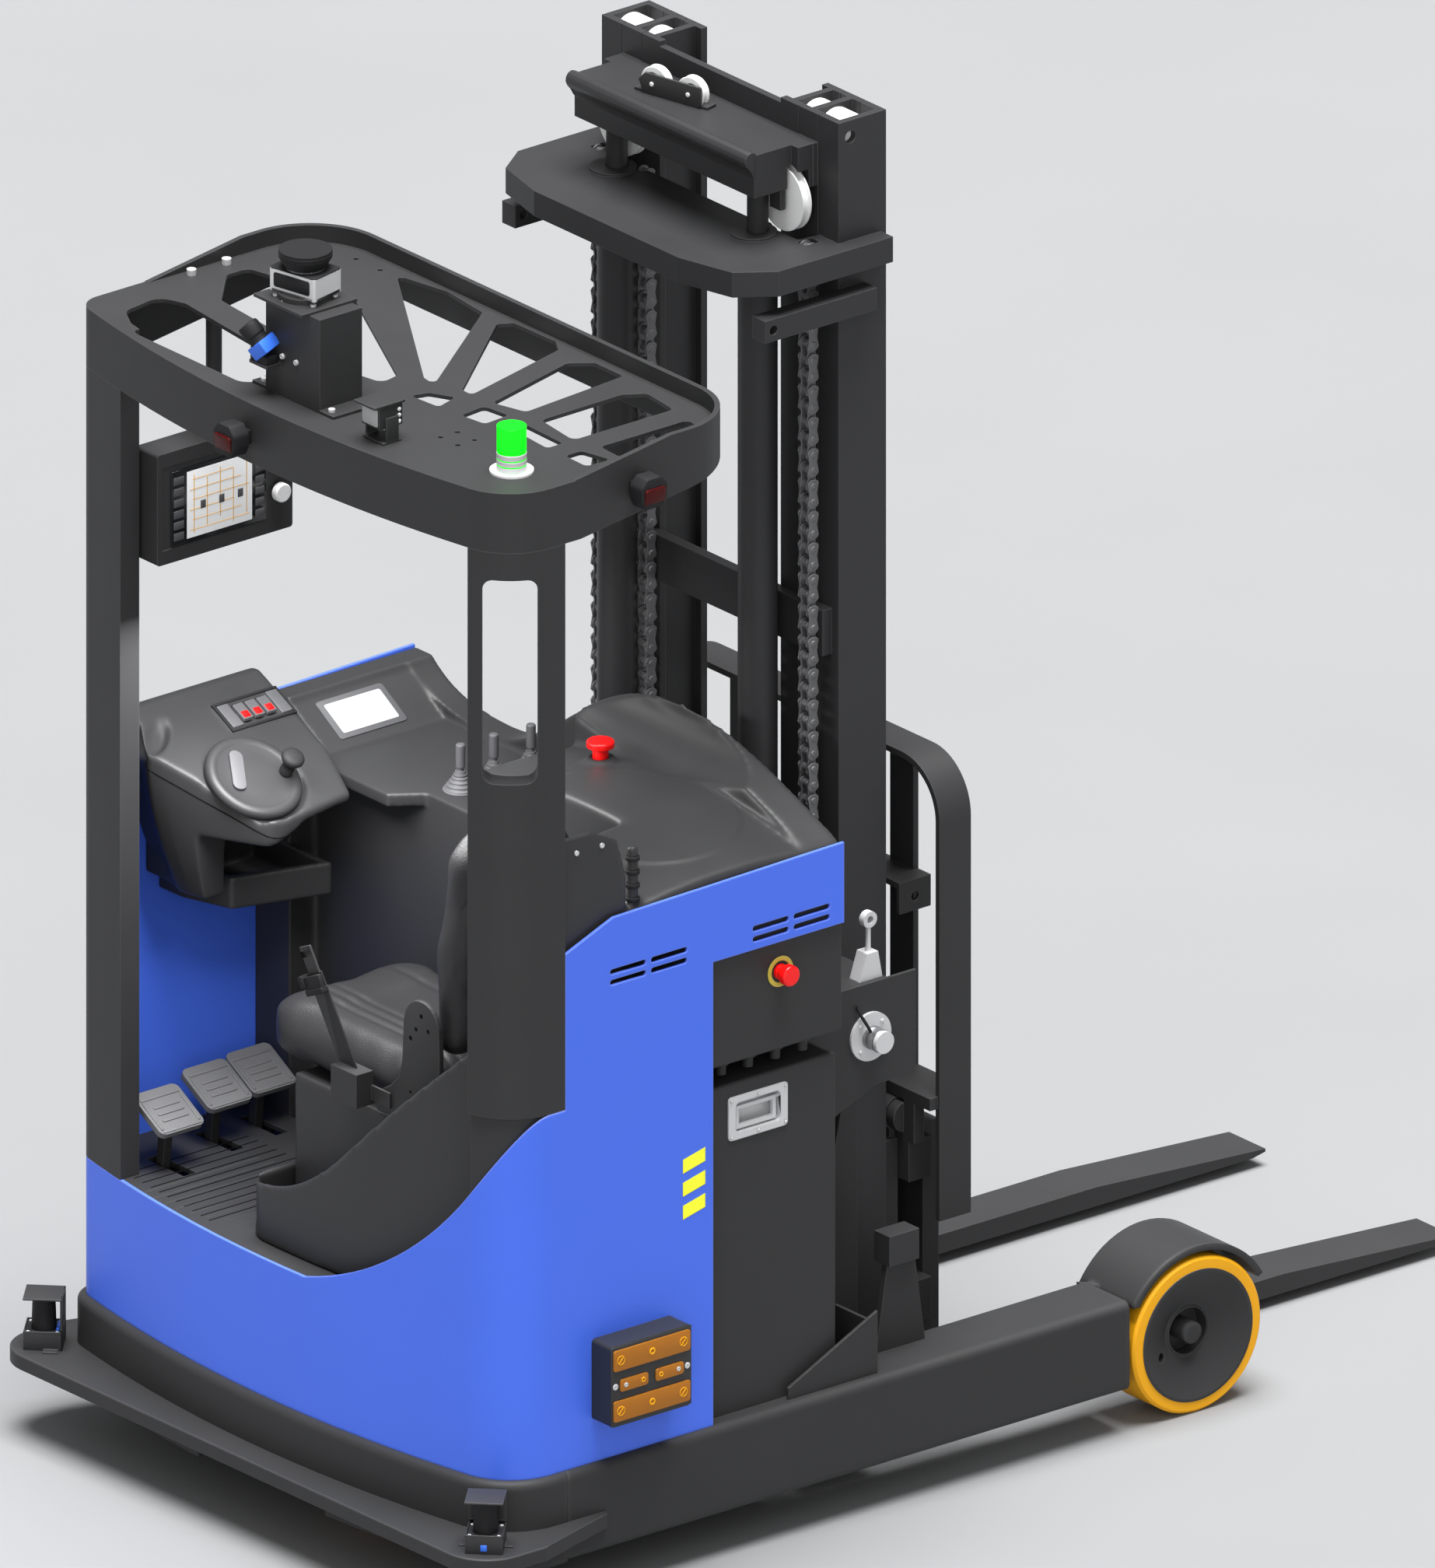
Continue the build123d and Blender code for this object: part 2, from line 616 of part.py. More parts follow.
# Corner posts: the near one wraps the round corner, the far one the tight corner
band_bottom = guard_top - guard_band
with BuildPart() as corner_posts:
    with BuildSketch(Plane.XY.offset(floor_z)):
        add(body_outline(-panel_wall, body_front_x))
        add(body_outline(-post_wall, body_front_x), mode=Mode.SUBTRACT)
        with Locations((post_front_x - 200, post_near_edge_y - 200)):
            Rectangle(400, 400, mode=Mode.INTERSECT)
    extrude(amount=band_bottom - floor_z)
    with BuildSketch(Plane.XY.offset(post_skin_bottom)):
        add(body_outline(0.0, body_front_x))
        add(body_outline(-panel_wall, body_front_x), mode=Mode.SUBTRACT)
        with Locations((post_front_x - 200, post_near_edge_y - 200)):
            Rectangle(400, 400, mode=Mode.INTERSECT)
    extrude(amount=band_bottom - post_skin_bottom)
    with BuildSketch(Plane.XY.offset(floor_z)):
        add(body_outline(-panel_wall, body_front_x))
        add(body_outline(-post_wall, body_front_x), mode=Mode.SUBTRACT)
        with Locations((far_post_front_x - 200, post_far_edge_y + 200)):
            Rectangle(400, 400, mode=Mode.INTERSECT)
    extrude(amount=band_bottom - floor_z)
    with BuildSketch(Plane.XY.offset(floor_z)):
        add(body_outline(0.0, body_front_x))
        add(body_outline(-panel_wall, body_front_x), mode=Mode.SUBTRACT)
        with Locations((far_post_front_x - 200, post_far_edge_y + 200)):
            Rectangle(400, 400, mode=Mode.INTERSECT)
    extrude(amount=band_bottom - floor_z)
    with BuildSketch(Plane.XY.offset(band_bottom)):
        add(body_outline(-guard_wall, body_front_x))
        add(body_outline(-post_wall, body_front_x), mode=Mode.SUBTRACT)
        with Locations((post_front_x - 200, post_near_edge_y - 200)):
            Rectangle(400, 400, mode=Mode.INTERSECT)
    extrude(amount=guard_band - guard_plate)
    with BuildSketch(Plane.XY.offset(band_bottom)):
        add(body_outline(-guard_wall, body_front_x))
        add(body_outline(-post_wall, body_front_x), mode=Mode.SUBTRACT)
        with Locations((far_post_front_x - 200, post_far_edge_y + 200)):
            Rectangle(400, 400, mode=Mode.INTERSECT)
    extrude(amount=guard_band - guard_plate)
    turn = radians(view_turn)
    slot_plane = Plane(
        origin=(-1134, -586, slot_centre_z), x_dir=(cos(turn), sin(turn), 0), z_dir=(-sin(turn), cos(turn), 0)
    )
    with BuildSketch(slot_plane):
        RectangleRounded(slot_width, slot_height, 20)
    extrude(amount=130, both=True, mode=Mode.SUBTRACT)
corner_posts.part.label = "corner_posts"
export_step(corner_posts.part, "parts/corner_posts.step")

# Overhead guard: plate with lattice openings, band round the edge and a raised rim at the front
guard_openings = (
    (((-632, 362), (-610, 240), (-625, 120), (-917, -98), (-910, -60)), 9.0),
    (((-640, 60), (-612, 45), (-610, -75), (-632, -110), (-895, -180), (-893, -150)), 9.0),
    (((-890, -234), (-660, -170), (-620, -200), (-620, -285), (-870, -308)), 12.0),
    (((-678, -353), (-640, -378), (-652, -470), (-890, -470), (-874, -356)), 14.0),
    (((-664, -526), (-671, -569), (-695, -590), (-876, -590), (-872, -526)), 12.0),
    (((-985, -112), (-949, -122), (-925, -170), (-979, -188)), 8.0),
    (((-973, -245), (-912, -238), (-905, -300), (-966, -306)), 10.0),
    (((-942, -344), (-910, -359), (-914, -470), (-952, -470)), 8.0),
    (((-950, -520), (-911, -520), (-896, -588), (-952, -584)), 10.0),
    (((-1185, 121), (-1185, 440), (-1130, 540), (-1040, 555), (-1020, 500), (-1063, 121)), 30.0),
    (((-873, 560), (-823, 560), (-770, 310), (-940, -20), (-985, -30), (-1000, 60), (-960, 470)), 18.0),
)
with BuildPart() as overhead_guard:
    with BuildSketch(Plane.XY.offset(guard_top - guard_plate)) as guard_plan:
        add(body_outline(0.0, guard_front_x))
        fillet(guard_plan.vertices().group_by(Axis.X)[-1], guard_corner)
    extrude(amount=guard_plate)
    with BuildSketch(Plane.XY.offset(band_bottom)) as band_plan:
        add(body_outline(0.0, guard_front_x))
        fillet(band_plan.vertices().group_by(Axis.X)[-1], guard_corner)
        with BuildSketch(mode=Mode.PRIVATE) as band_inside:
            add(body_outline(-guard_wall, guard_front_x - guard_wall))
            fillet(band_inside.vertices().group_by(Axis.X)[-1], guard_corner - guard_wall)
        add(band_inside.sketch, mode=Mode.SUBTRACT)
    extrude(amount=guard_band)
    with BuildSketch(Plane.XY.offset(guard_top)):
        add(band_plan.sketch)
        with Locations((guard_front_x, 0)):
            Rectangle(2 * rim_reach, 1400, mode=Mode.INTERSECT)
    extrude(amount=guard_rim)
    with BuildSketch(Plane.XZ):
        with BuildLine():
            Polyline(
                (rear_bow_x, band_bottom - 50),
                (-1000, band_bottom),
                (guard_front_x, guard_top - guard_band_front),
                (guard_front_x + 50, band_bottom - 50),
                (rear_bow_x, band_bottom - 50),
            )
        make_face()
    extrude(amount=700, both=True, mode=Mode.SUBTRACT)
    with BuildSketch(Plane.XZ):
        with BuildLine():
            Polyline(
                (guard_front_x - rim_reach - 10, guard_top),
                (guard_front_x - rim_reach + 240, guard_top + guard_rim + 2),
                (guard_front_x - rim_reach - 10, guard_top + guard_rim + 2),
                (guard_front_x - rim_reach - 10, guard_top),
            )
        make_face()
    extrude(amount=700, both=True, mode=Mode.SUBTRACT)
    for corners, radius in guard_openings:
        with BuildSketch(Plane.XY.offset(guard_top - guard_plate)) as opening:
            with BuildLine():
                Polyline(*corners, corners[0])
            make_face()
            fillet(opening.vertices(), radius)
        extrude(amount=guard_plate, mode=Mode.SUBTRACT)
    with BuildSketch(Plane.XY.offset(guard_top - guard_plate)):
        for hole_x, hole_y in guard_holes:
            with Locations((hole_x, hole_y)):
                Circle(5.5)
    extrude(amount=guard_plate, mode=Mode.SUBTRACT)
overhead_guard.part.label = "overhead_guard"
export_step(overhead_guard.part, "parts/overhead_guard.step")

# Lidar tower with foot flanges and adjuster plates
tower_x = -1120.0
tower_y = 2.0
tower_top = guard_top + 185.0
with BuildPart() as lidar_tower:
    with Locations((tower_x, tower_y, guard_top)):
        Box(100, 157, 185, align=(Align.CENTER, Align.CENTER, Align.MIN))
        Box(84, 141, 172, align=(Align.CENTER, Align.CENTER, Align.MIN), mode=Mode.SUBTRACT)
        with Locations((0, 98, 0)):
            Box(100, 40, 6, align=(Align.CENTER, Align.CENTER, Align.MIN))
        with Locations((0, -98, 0)):
            Box(100, 40, 6, align=(Align.CENTER, Align.CENTER, Align.MIN))
    with Locations((tower_x - 4, tower_y + 20, tower_top)):
        Box(132, 140, 6, align=(Align.CENTER, Align.CENTER, Align.MIN))
        Cylinder(52, 18, align=(Align.CENTER, Align.CENTER, Align.MIN))
    with Locations((tower_x - 50, tower_y + 60, guard_top + 60)):
        Box(34, 50, 6, align=(Align.MAX, Align.CENTER, Align.MIN))
lidar_tower.part.label = "lidar_tower"
export_step(lidar_tower.part, "parts/lidar_tower.step")

with BuildPart() as tower_sensors:
    with Locations((tower_x - 4, tower_y + 20, tower_top + 18)):
        with Locations(Rotation(0, 0, 12)):
            Box(80, 108, 44, align=(Align.CENTER, Align.CENTER, Align.MIN))
    fillet(tower_sensors.edges().filter_by(Axis.Z), 5.0)
    with BuildSketch(Plane.XY.offset(tower_top + 62)):
        with Locations((tower_x - 4, tower_y + 20)):
            Circle(36)
    extrude(amount=24, taper=-30)
    with BuildSketch(Plane.XY.offset(tower_top + 86)):
        with Locations((tower_x - 4, tower_y + 20)):
            Circle(49.5)
    extrude(amount=14)
    with Locations((tower_x - 70, tower_y + 60, guard_top + 66)):
        Box(28, 48, 40, align=(Align.CENTER, Align.CENTER, Align.MIN))
    tilted = Plane(origin=(tower_x - 70, tower_y + 60, guard_top + 96), x_dir=(1, 0, 0), z_dir=(-0.3, 0.6, 0.74))
    with BuildSketch(tilted):
        Circle(21)
    extrude(amount=52)
tower_sensors.part.label = "tower_sensors"
export_step(tower_sensors.part, "parts/tower_sensors.step")

# Camera under its visor, the warning lamp and the two marker lamps on the guard
with BuildPart() as guard_lamps:
    with Locations((-1157, -242, guard_top)):
        Box(44, 60, 5, align=(Align.CENTER, Align.CENTER, Align.MIN))
        with Locations((0, -28, 0)):
            Box(30, 4, 48, align=(Align.CENTER, Align.CENTER, Align.MIN))
        with Locations((0, 28, 0)):
            Box(30, 4, 48, align=(Align.CENTER, Align.CENTER, Align.MIN))
        with Locations((0, 0, 30)):
            Box(56, 52, 46, align=(Align.CENTER, Align.CENTER, Align.MIN))
        with Locations((-6, 0, 76)):
            Box(74, 60, 4, align=(Align.CENTER, Align.CENTER, Align.MIN))
    with Locations((-1074, -517, guard_top)):
        Cylinder(41, 5, align=(Align.CENTER, Align.CENTER, Align.MIN))
        Cylinder(27.5, 91, align=(Align.CENTER, Align.CENTER, Align.MIN))
    with Locations((lamp_rear_x, 59, 2150)):
        Box(14, 40, 30, align=(Align.MAX, Align.CENTER, Align.CENTER))
        with Locations((-14, 0, 0)):
            Box(44, 64, 62, align=(Align.MAX, Align.CENTER, Align.CENTER))
    with Locations((-867, -body_side, 2169)):
        Box(40, 14, 30, align=(Align.CENTER, Align.MAX, Align.CENTER))
        with Locations((0, -14, 0)):
            Box(64, 40, 62, align=(Align.CENTER, Align.MAX, Align.CENTER))
guard_lamps.part.label = "guard_lamps"
export_step(guard_lamps.part, "parts/guard_lamps.step")

# Operator screen box on a bar under the guard, with a knob and a button
hmi_x = -983.0
hmi_y = 462.0
hmi_z = 1855.0
with BuildPart() as hmi_box:
    with Locations((hmi_x, hmi_y, hmi_z)):
        Box(320, 64, 220)
    fillet(hmi_box.edges().filter_by(Axis.Y), 6.0)
    with BuildSketch(Plane.XZ.offset(32 - hmi_y)):
        with Locations((hmi_x - 30, hmi_z)):
            Rectangle(236, 164)
    extrude(amount=-2, mode=Mode.SUBTRACT)
    for control_z in (hmi_z - 30, hmi_z + 30):
        with BuildSketch(Plane.XZ.offset(32 - hmi_y)):
            with Locations((hmi_x + 124, control_z)):
                Circle(8 + running_gap / 2)
        extrude(amount=-30, mode=Mode.SUBTRACT)
    with Locations((hmi_x, hmi_y, hmi_z + 110)):
        Box(60, 44, 30, align=(Align.CENTER, Align.CENTER, Align.MIN))
        Cylinder(15, guard_top - guard_plate - hmi_z - 110, align=(Align.CENTER, Align.CENTER, Align.MIN))
hmi_box.part.label = "hmi_box"
export_step(hmi_box.part, "parts/hmi_box.step")

for name, control_z, stand in (("hmi_knob", hmi_z + 30, 0.0), ("hmi_button", hmi_z - 30, 6.0)):
    with BuildPart() as control:
        with BuildSketch(Plane.XZ.offset(32 - hmi_y - 20)):
            with Locations((hmi_x + 124, control_z)):
                Circle(8)
        extrude(amount=20 + stand)
        with BuildSketch(Plane.XZ.offset(32 - hmi_y + stand)):
            with Locations((hmi_x + 124, control_z)):
                Circle(18)
        extrude(amount=14)
        fillet(control.faces().sort_by(Axis.Y)[0].edges(), 3.0)
    control.part.label = name
    export_step(control.part, f"parts/{name}.step")

# Battery hood: dome over the electronics, crest with a trough behind it, side shield and grab handle
hood_bottom = dash_top - dash_thickness
dome_radius = 1400.0
dome_top = 1385.0
with BuildPart() as battery_hood:
    with BuildSketch(Plane.XY.offset(hood_bottom)) as hood_plan:
        with BuildLine():
            Polyline(
                (cowl_front_x, -box_side),
                (hood_rear_x, -box_side),
                (hood_rear_x, seat_clear_y),
                (alcove_x, seat_clear_y),
                (alcove_x, hood_split_y),
                (cowl_front_x, hood_split_y),
                (cowl_front_x, -box_side),
            )
        make_face()
    extrude(amount=230)
    with Locations((-620, -280, dome_top - dome_radius)):
        Sphere(dome_radius, mode=Mode.INTERSECT)
    fillet(battery_hood.faces().sort_by(Axis.Z)[-1].edges(), 16.0)
    with BuildSketch(Plane.YZ.offset(cowl_front_x - 84)):
        with BuildLine():
            Line((hood_split_y, hood_bottom), (hood_split_y, 1405))
            Spline((hood_split_y, 1405), (-38, 1449), (-288, 1450), (-464, 1397), (-596, 1345))
            Polyline((-596, 1345), (-box_side, 1330), (-box_side, hood_bottom), (hood_split_y, hood_bottom))
        make_face()
    extrude(amount=84)
    with BuildSketch(Plane(origin=(-470, -170, 1462), x_dir=(1, 0, 0), z_dir=(0, 0, 1))):
        with Locations((0, 0)):
            Ellipse(90, 340)
        with Locations((50, 0)):
            Rectangle(100, 800, mode=Mode.SUBTRACT)
    revolve(axis=Axis((-470, -170, 1462), (0, 1, 0)), mode=Mode.SUBTRACT)
    with Locations((estop_hood_x, estop_hood_y, hood_bottom)):
        Cylinder(28, dome_top - 2 - hood_bottom, align=(Align.CENTER, Align.CENTER, Align.MIN))
        Cylinder(estop_hole / 2, 200, align=(Align.CENTER, Align.CENTER, Align.MIN), mode=Mode.SUBTRACT)
    with BuildSketch(Plane.XZ.offset(shield_y)) as shield_plan:
        with BuildLine():
            Polyline(
                (-1035, hood_bottom),
                (-1035, 1500),
                (-960, 1500),
                (-900, 1470),
                (hood_rear_x, 1400),
                (hood_rear_x, hood_bottom),
                (-1035, hood_bottom),
            )
        make_face()
    extrude(amount=14)
    with BuildSketch(Plane.YZ.offset(hood_rear_x - 14)):
        with Locations((-shield_y, (hood_bottom + 1330) / 2)):
            Rectangle(28, 1330 - hood_bottom)
    extrude(amount=14)
    with Locations((-855, -box_side + 18, 1380)):
        Cylinder(11, 130)
battery_hood.part.label = "battery_hood"
export_step(battery_hood.part, "parts/battery_hood.step")

with BuildPart() as estop_hood:
    with BuildSketch(Plane.XY.offset(dome_top - 32)):
        with Locations((estop_hood_x, estop_hood_y)):
            Circle(estop_hole / 2 - running_gap)
    extrude(amount=48)
    with BuildSketch(Plane.XY.offset(dome_top + 16)):
        with Locations((estop_hood_x, estop_hood_y)):
            Circle(26)
    extrude(amount=12)
    fillet(estop_hood.faces().sort_by(Axis.Z)[-1].edges(), 4.0)
estop_hood.part.label = "estop_hood"
export_step(estop_hood.part, "parts/estop_hood.step")

# Dash: bulkhead with the seat alcove, tray shelf, lever deck, cowl crest and the tilted screen bezel
with BuildPart() as dash_console:
    with BuildSketch(Plane.XY.offset(floor_z - floor_thickness)) as bulkhead_plan:
        with BuildLine():
            Polyline(
                (bulkhead_x, body_side - panel_wall),
                (bulkhead_x, alcove_y),
                (alcove_x, alcove_y),
                (alcove_x, panel_wall - body_side),
                (door_front_x, panel_wall - body_side),
                (door_front_x, body_side - panel_wall),
                (bulkhead_x, body_side - panel_wall),
            )
        make_face()
    extrude(amount=hood_bottom - floor_z + floor_thickness)
    with BuildSketch(Plane.XY.offset(hood_bottom)):
        with BuildLine():
            Polyline(
                (cowl_front_x, box_side),
                (bulkhead_x, box_side),
                (bulkhead_x, 235),
                (alcove_x, 192),
                (alcove_x, hood_split_y),
                (cowl_front_x, hood_split_y),
                (cowl_front_x, box_side),
            )
        make_face()
    extrude(amount=dash_thickness)
    with BuildSketch(Plane.XY.offset(hood_bottom)):
        with BuildLine():
            Polyline(
                (bulkhead_x, 235), (bulkhead_x, alcove_y), (alcove_x, alcove_y), (alcove_x, 192), (bulkhead_x, 235)
            )
        make_face()
    extrude(amount=dash_thickness)
    with BuildSketch(Plane.YZ.offset(cowl_front_x - 60)):
        with BuildLine():
            Line((hood_split_y, dash_top), (hood_split_y, 1400))
            Spline((hood_split_y, 1400), (181, 1317), (283, 1270), (400, 1268), (486, 1285), (570, cowl_top))
            Polyline((570, cowl_top), (box_side, cowl_top), (box_side, dash_top), (hood_split_y, dash_top))
        make_face()
    extrude(amount=60)
    with BuildSketch(Plane.YZ.offset(-720)):
        with BuildLine():
            Polyline((455, dash_top), (560, 1322), (572, cowl_top), (box_side, cowl_top), (box_side, dash_top), (455, dash_top))
        make_face()
    extrude(amount=720 + cowl_front_x)
    screen_plane = Plane(origin=(-594, 512, 1292.7), x_dir=(1, 0, 0), z_dir=(0, -0.5206, 0.8538))
    with BuildSketch(screen_plane):
        RectangleRounded(150, 84, 6)
    extrude(amount=-6, mode=Mode.SUBTRACT)
    with BuildSketch(Plane.XY.offset(shelf_bottom)):
        with BuildLine():
            Polyline(
                (bulkhead_x, 622), (-985, 622), (-985, 555), (-951, 450), (bulkhead_x, 392), (bulkhead_x, 622)
            )
        make_face()
    extrude(amount=shelf_height)
    with BuildSketch(Plane.XY.offset(shelf_bottom + 12)):
        with BuildLine():
            Polyline((-772, 608), (-970, 608), (-970, 560), (-941, 468), (-772, 412), (-772, 608))
        make_face()
    extrude(amount=shelf_height, mode=Mode.SUBTRACT)
    with BuildSketch(Plane.XY.offset(hood_bottom)):
        for lever_x, lever_y in lever_places:
            with Locations((lever_x, lever_y)):
                Circle(lever_well)
    extrude(amount=dash_thickness, mode=Mode.SUBTRACT)
    for lever_x, lever_y in lever_places:
        with BuildSketch(Plane.YZ.offset(lever_x - lever_well - 6)):
            with Locations((lever_y, dash_top - 12)):
                Circle(4 + running_gap / 2)
        extrude(amount=2 * lever_well + 12, mode=Mode.SUBTRACT)
dash_console.part.label = "dash_console"
export_step(dash_console.part, "parts/dash_console.step")

# Levers: ball stem on a cross pin inside the well, upper bellows rings, grip on top
for index, (lever_x, lever_y) in enumerate(lever_places):
    with BuildPart() as lever:
        with BuildSketch(Plane.YZ.offset(lever_x - lever_well - 5)):
            with Locations((lever_y, dash_top - 12)):
                Circle(4)
        extrude(amount=2 * lever_well + 10)
        with Locations((lever_x, lever_y, dash_top - 12)):
            Sphere(7)
            Cylinder(6, 60, align=(Align.CENTER, Align.CENTER, Align.MIN))
        with Locations((lever_x, lever_y, dash_top + boot_height + 7)):
            Cylinder(13, 4, align=(Align.CENTER, Align.CENTER, Align.MIN))
        with Locations((lever_x, lever_y, dash_top + boot_height + 13)):
            Cylinder(10, 4, align=(Align.CENTER, Align.CENTER, Align.MIN))
        with Locations((lever_x, lever_y, dash_top + 46)):
            Cylinder(9, lever_height - 46, align=(Align.CENTER, Align.CENTER, Align.MIN))
        fillet(lever.faces().sort_by(Axis.Z)[-1].edges(), 4.0)
    lever.part.label = f"lever_{index + 1}"
    export_step(lever.part, f"parts/lever_{index + 1}.step")

# Lower bellows rings of the levers, fixed to the dash
with BuildPart() as lever_boots:
    for lever_x, lever_y in lever_places:
        with Locations((lever_x, lever_y, dash_top)):
            Cylinder(30, 4, align=(Align.CENTER, Align.CENTER, Align.MIN))
            with Locations((0, 0, 4)):
                Cylinder(25, boot_height - 4, align=(Align.CENTER, Align.CENTER, Align.MIN))
            with Locations((0, 0, 9)):
                Cylinder(27, 4, align=(Align.CENTER, Align.CENTER, Align.MIN))
            Cylinder(21, boot_height, align=(Align.CENTER, Align.CENTER, Align.MIN), mode=Mode.SUBTRACT)
lever_boots.part.label = "lever_boots"
export_step(lever_boots.part, "parts/lever_boots.step")

# Steering console hung on the far side panel, tilted top with the disc recess and the switch plate
with BuildPart() as steering_console:
    with BuildSketch(Plane.XY.offset(console_bottom)) as console_plan:
        with BuildLine():
            Polyline(
                (-1080, 622),
                (-1080, 560),
                (-1110, 500),
                (-985, 282),
                (-790, 300),
                (-762, 400),
                (-762, 622),
                (-1080, 622),
            )
        make_face()
        fillet(console_plan.vertices().group_by(Axis.Y)[0], 40)
    extrude(amount=1420 - console_bottom)
    with BuildSketch(Plane.YZ.offset(-1300)):
        with BuildLine():
            Polyline(
                (200, 1247 - 95 * tan(radians(console_tilt))),
                (600, 1247 + 305 * tan(radians(console_tilt))),
                (700, 1247 + 305 * tan(radians(console_tilt)) - 20),
                (700, 1600),
                (200, 1600),
                (200, 1247 - 95 * tan(radians(console_tilt))),
            )
        make_face()
    extrude(amount=700, mode=Mode.SUBTRACT)
    with BuildSketch(Plane.XZ):
        with BuildLine():
            Polyline((-700, 1000), (-1000, 1000), (-985, 1190), (-900, 1225), (-700, 1238), (-700, 1000))
        make_face()
    extrude(amount=-630, mode=Mode.SUBTRACT)
    with BuildSketch(Plane.XY.offset(console_bottom)):
        with Locations((-1000, 340)):
            Rectangle(400, 160)
    extrude(amount=1190 - console_bottom, mode=Mode.SUBTRACT)
    with BuildSketch(disc_plane):
        Circle(disc_diameter / 2 + 8)
    extrude(amount=80, mode=Mode.SUBTRACT)
    with BuildSketch(disc_plane):
        Circle(shaft_radius + running_gap / 2)
    extrude(amount=-shaft_depth, mode=Mode.SUBTRACT)
    with BuildSketch(switch_plane):
        RectangleRounded(switch_length, switch_height, 4)
    extrude(amount=4)
    with BuildSketch(switch_plane.offset(4)):
        for index in range(rocker_count):
            with Locations(((index - 1) * rocker_pitch, 0)):
                Rectangle(rocker_width + running_gap, rocker_length + running_gap)
    extrude(amount=-14, mode=Mode.SUBTRACT)
    for index in range(rocker_count):
        pin_start = switch_plane.offset(-2).from_local_coords((((index - 1) * rocker_pitch - 13.3), 0, 0))
        with BuildSketch(Plane(origin=pin_start, x_dir=(0, 1, 0), z_dir=(1, 0, 0))):
            Circle(2 + running_gap / 2)
        extrude(amount=26.6, mode=Mode.SUBTRACT)
steering_console.part.label = "steering_console"
export_step(steering_console.part, "parts/steering_console.step")

with BuildPart() as steering_disc:
    with BuildSketch(disc_plane.offset(1)):
        Circle(disc_diameter / 2)
    extrude(amount=disc_thickness)
    fillet(steering_disc.faces().sort_by(Axis.Z)[-1].edges(), 6)
    with BuildSketch(disc_plane.offset(1)):
        Circle(shaft_radius)
    extrude(amount=-shaft_depth + 4)
    with BuildSketch(disc_plane.offset(1 + disc_thickness)):
        with Locations((62, -14)):
            Circle(9)
    extrude(amount=knob_height - 12)
    with BuildSketch(disc_plane.offset(1 + disc_thickness)):
        with Locations((-22, 10)):
            with Locations(Rotation(0, 0, -52)):
                SlotOverall(90, 26)
    extrude(amount=7)
steering_disc.part.label = "steering_disc"
export_step(steering_disc.part, "parts/steering_disc.step")

with BuildPart() as steering_knob:
    with BuildSketch(disc_plane.offset(1 + disc_thickness + 1)):
        with Locations((62, -14)):
            Circle(15)
    extrude(amount=knob_height - 20)
    with BuildSketch(disc_plane.offset(1 + disc_thickness + knob_height - 22)):
        with Locations((62, -14)):
            Circle(knob_diameter / 2 + 2)
    extrude(amount=20)
    fillet(steering_knob.faces().sort_by(Axis.Z)[-1].edges(), 8)
    with BuildSketch(disc_plane.offset(1 + disc_thickness)):
        with Locations((62, -14)):
            Circle(9 + running_gap / 2)
    extrude(amount=knob_height - 11.5, mode=Mode.SUBTRACT)
steering_knob.part.label = "steering_knob"
export_step(steering_knob.part, "parts/steering_knob.step")

for index in range(rocker_count):
    with BuildPart() as rocker:
        with BuildSketch(switch_plane.offset(-6)):
            with Locations(((index - 1) * rocker_pitch, 0)):
                Rectangle(rocker_width, 12)
        extrude(amount=8)
        with BuildSketch(switch_plane.offset(1)):
            with Locations(((index - 1) * rocker_pitch, 0)):
                Rectangle(rocker_width, rocker_length - 6)
        extrude(amount=8)
        pin_start = switch_plane.offset(-2).from_local_coords((((index - 1) * rocker_pitch - 13), 0, 0))
        with BuildSketch(Plane(origin=pin_start, x_dir=(0, 1, 0), z_dir=(1, 0, 0))):
            Circle(2)
        extrude(amount=26)
    rocker.part.label = f"rocker_{index + 1}"
    export_step(rocker.part, f"parts/rocker_{index + 1}.step")

# Seat pod: a tub on the floor with the seat box standing in it
with BuildPart() as seat_pod:
    with BuildSketch(Plane.XY.offset(floor_z)):
        add(body_outline(pod_grow, body_front_x))
        with Locations((alcove_x - 400, pod_left_y - 400)):
            Rectangle(800, 800, mode=Mode.INTERSECT)
    extrude(amount=800)
    fillet(seat_pod.edges().filter_by(Axis.Z).sort_by_distance((-1190, pod_left_y, 900))[0], 70)
    with BuildSketch(Plane.XY.offset(floor_z + 24)):
        add(body_outline(pod_grow - 14, body_front_x))
        with Locations((alcove_x - 400, pod_left_y - 14 - 400)):
            Rectangle(800, 800, mode=Mode.INTERSECT)
    extrude(amount=800, mode=Mode.SUBTRACT)
    with BuildSketch(Plane.YZ.offset(-1300)):
        with BuildLine():
            Spline((pod_left_y, 642), (-9, 668), (-238, 853), (-462, 1056), (-600, 1180))
            Polyline((-600, 1180), (-700, 1180), (-700, 1500), (300, 1500), (300, 642), (pod_left_y, 642))
        make_face()
    extrude(amount=700, mode=Mode.SUBTRACT)
    with BuildSketch(Plane.XY.offset(floor_z + 24)):
        with Locations(((seat_left_x + alcove_x) / 2, (106 - 545) / 2)):
            Rectangle(alcove_x - seat_left_x, 651)
    extrude(amount=seat_box_top - floor_z - 24)
seat_pod.part.label = "seat_pod"
export_step(seat_pod.part, "parts/seat_pod.step")

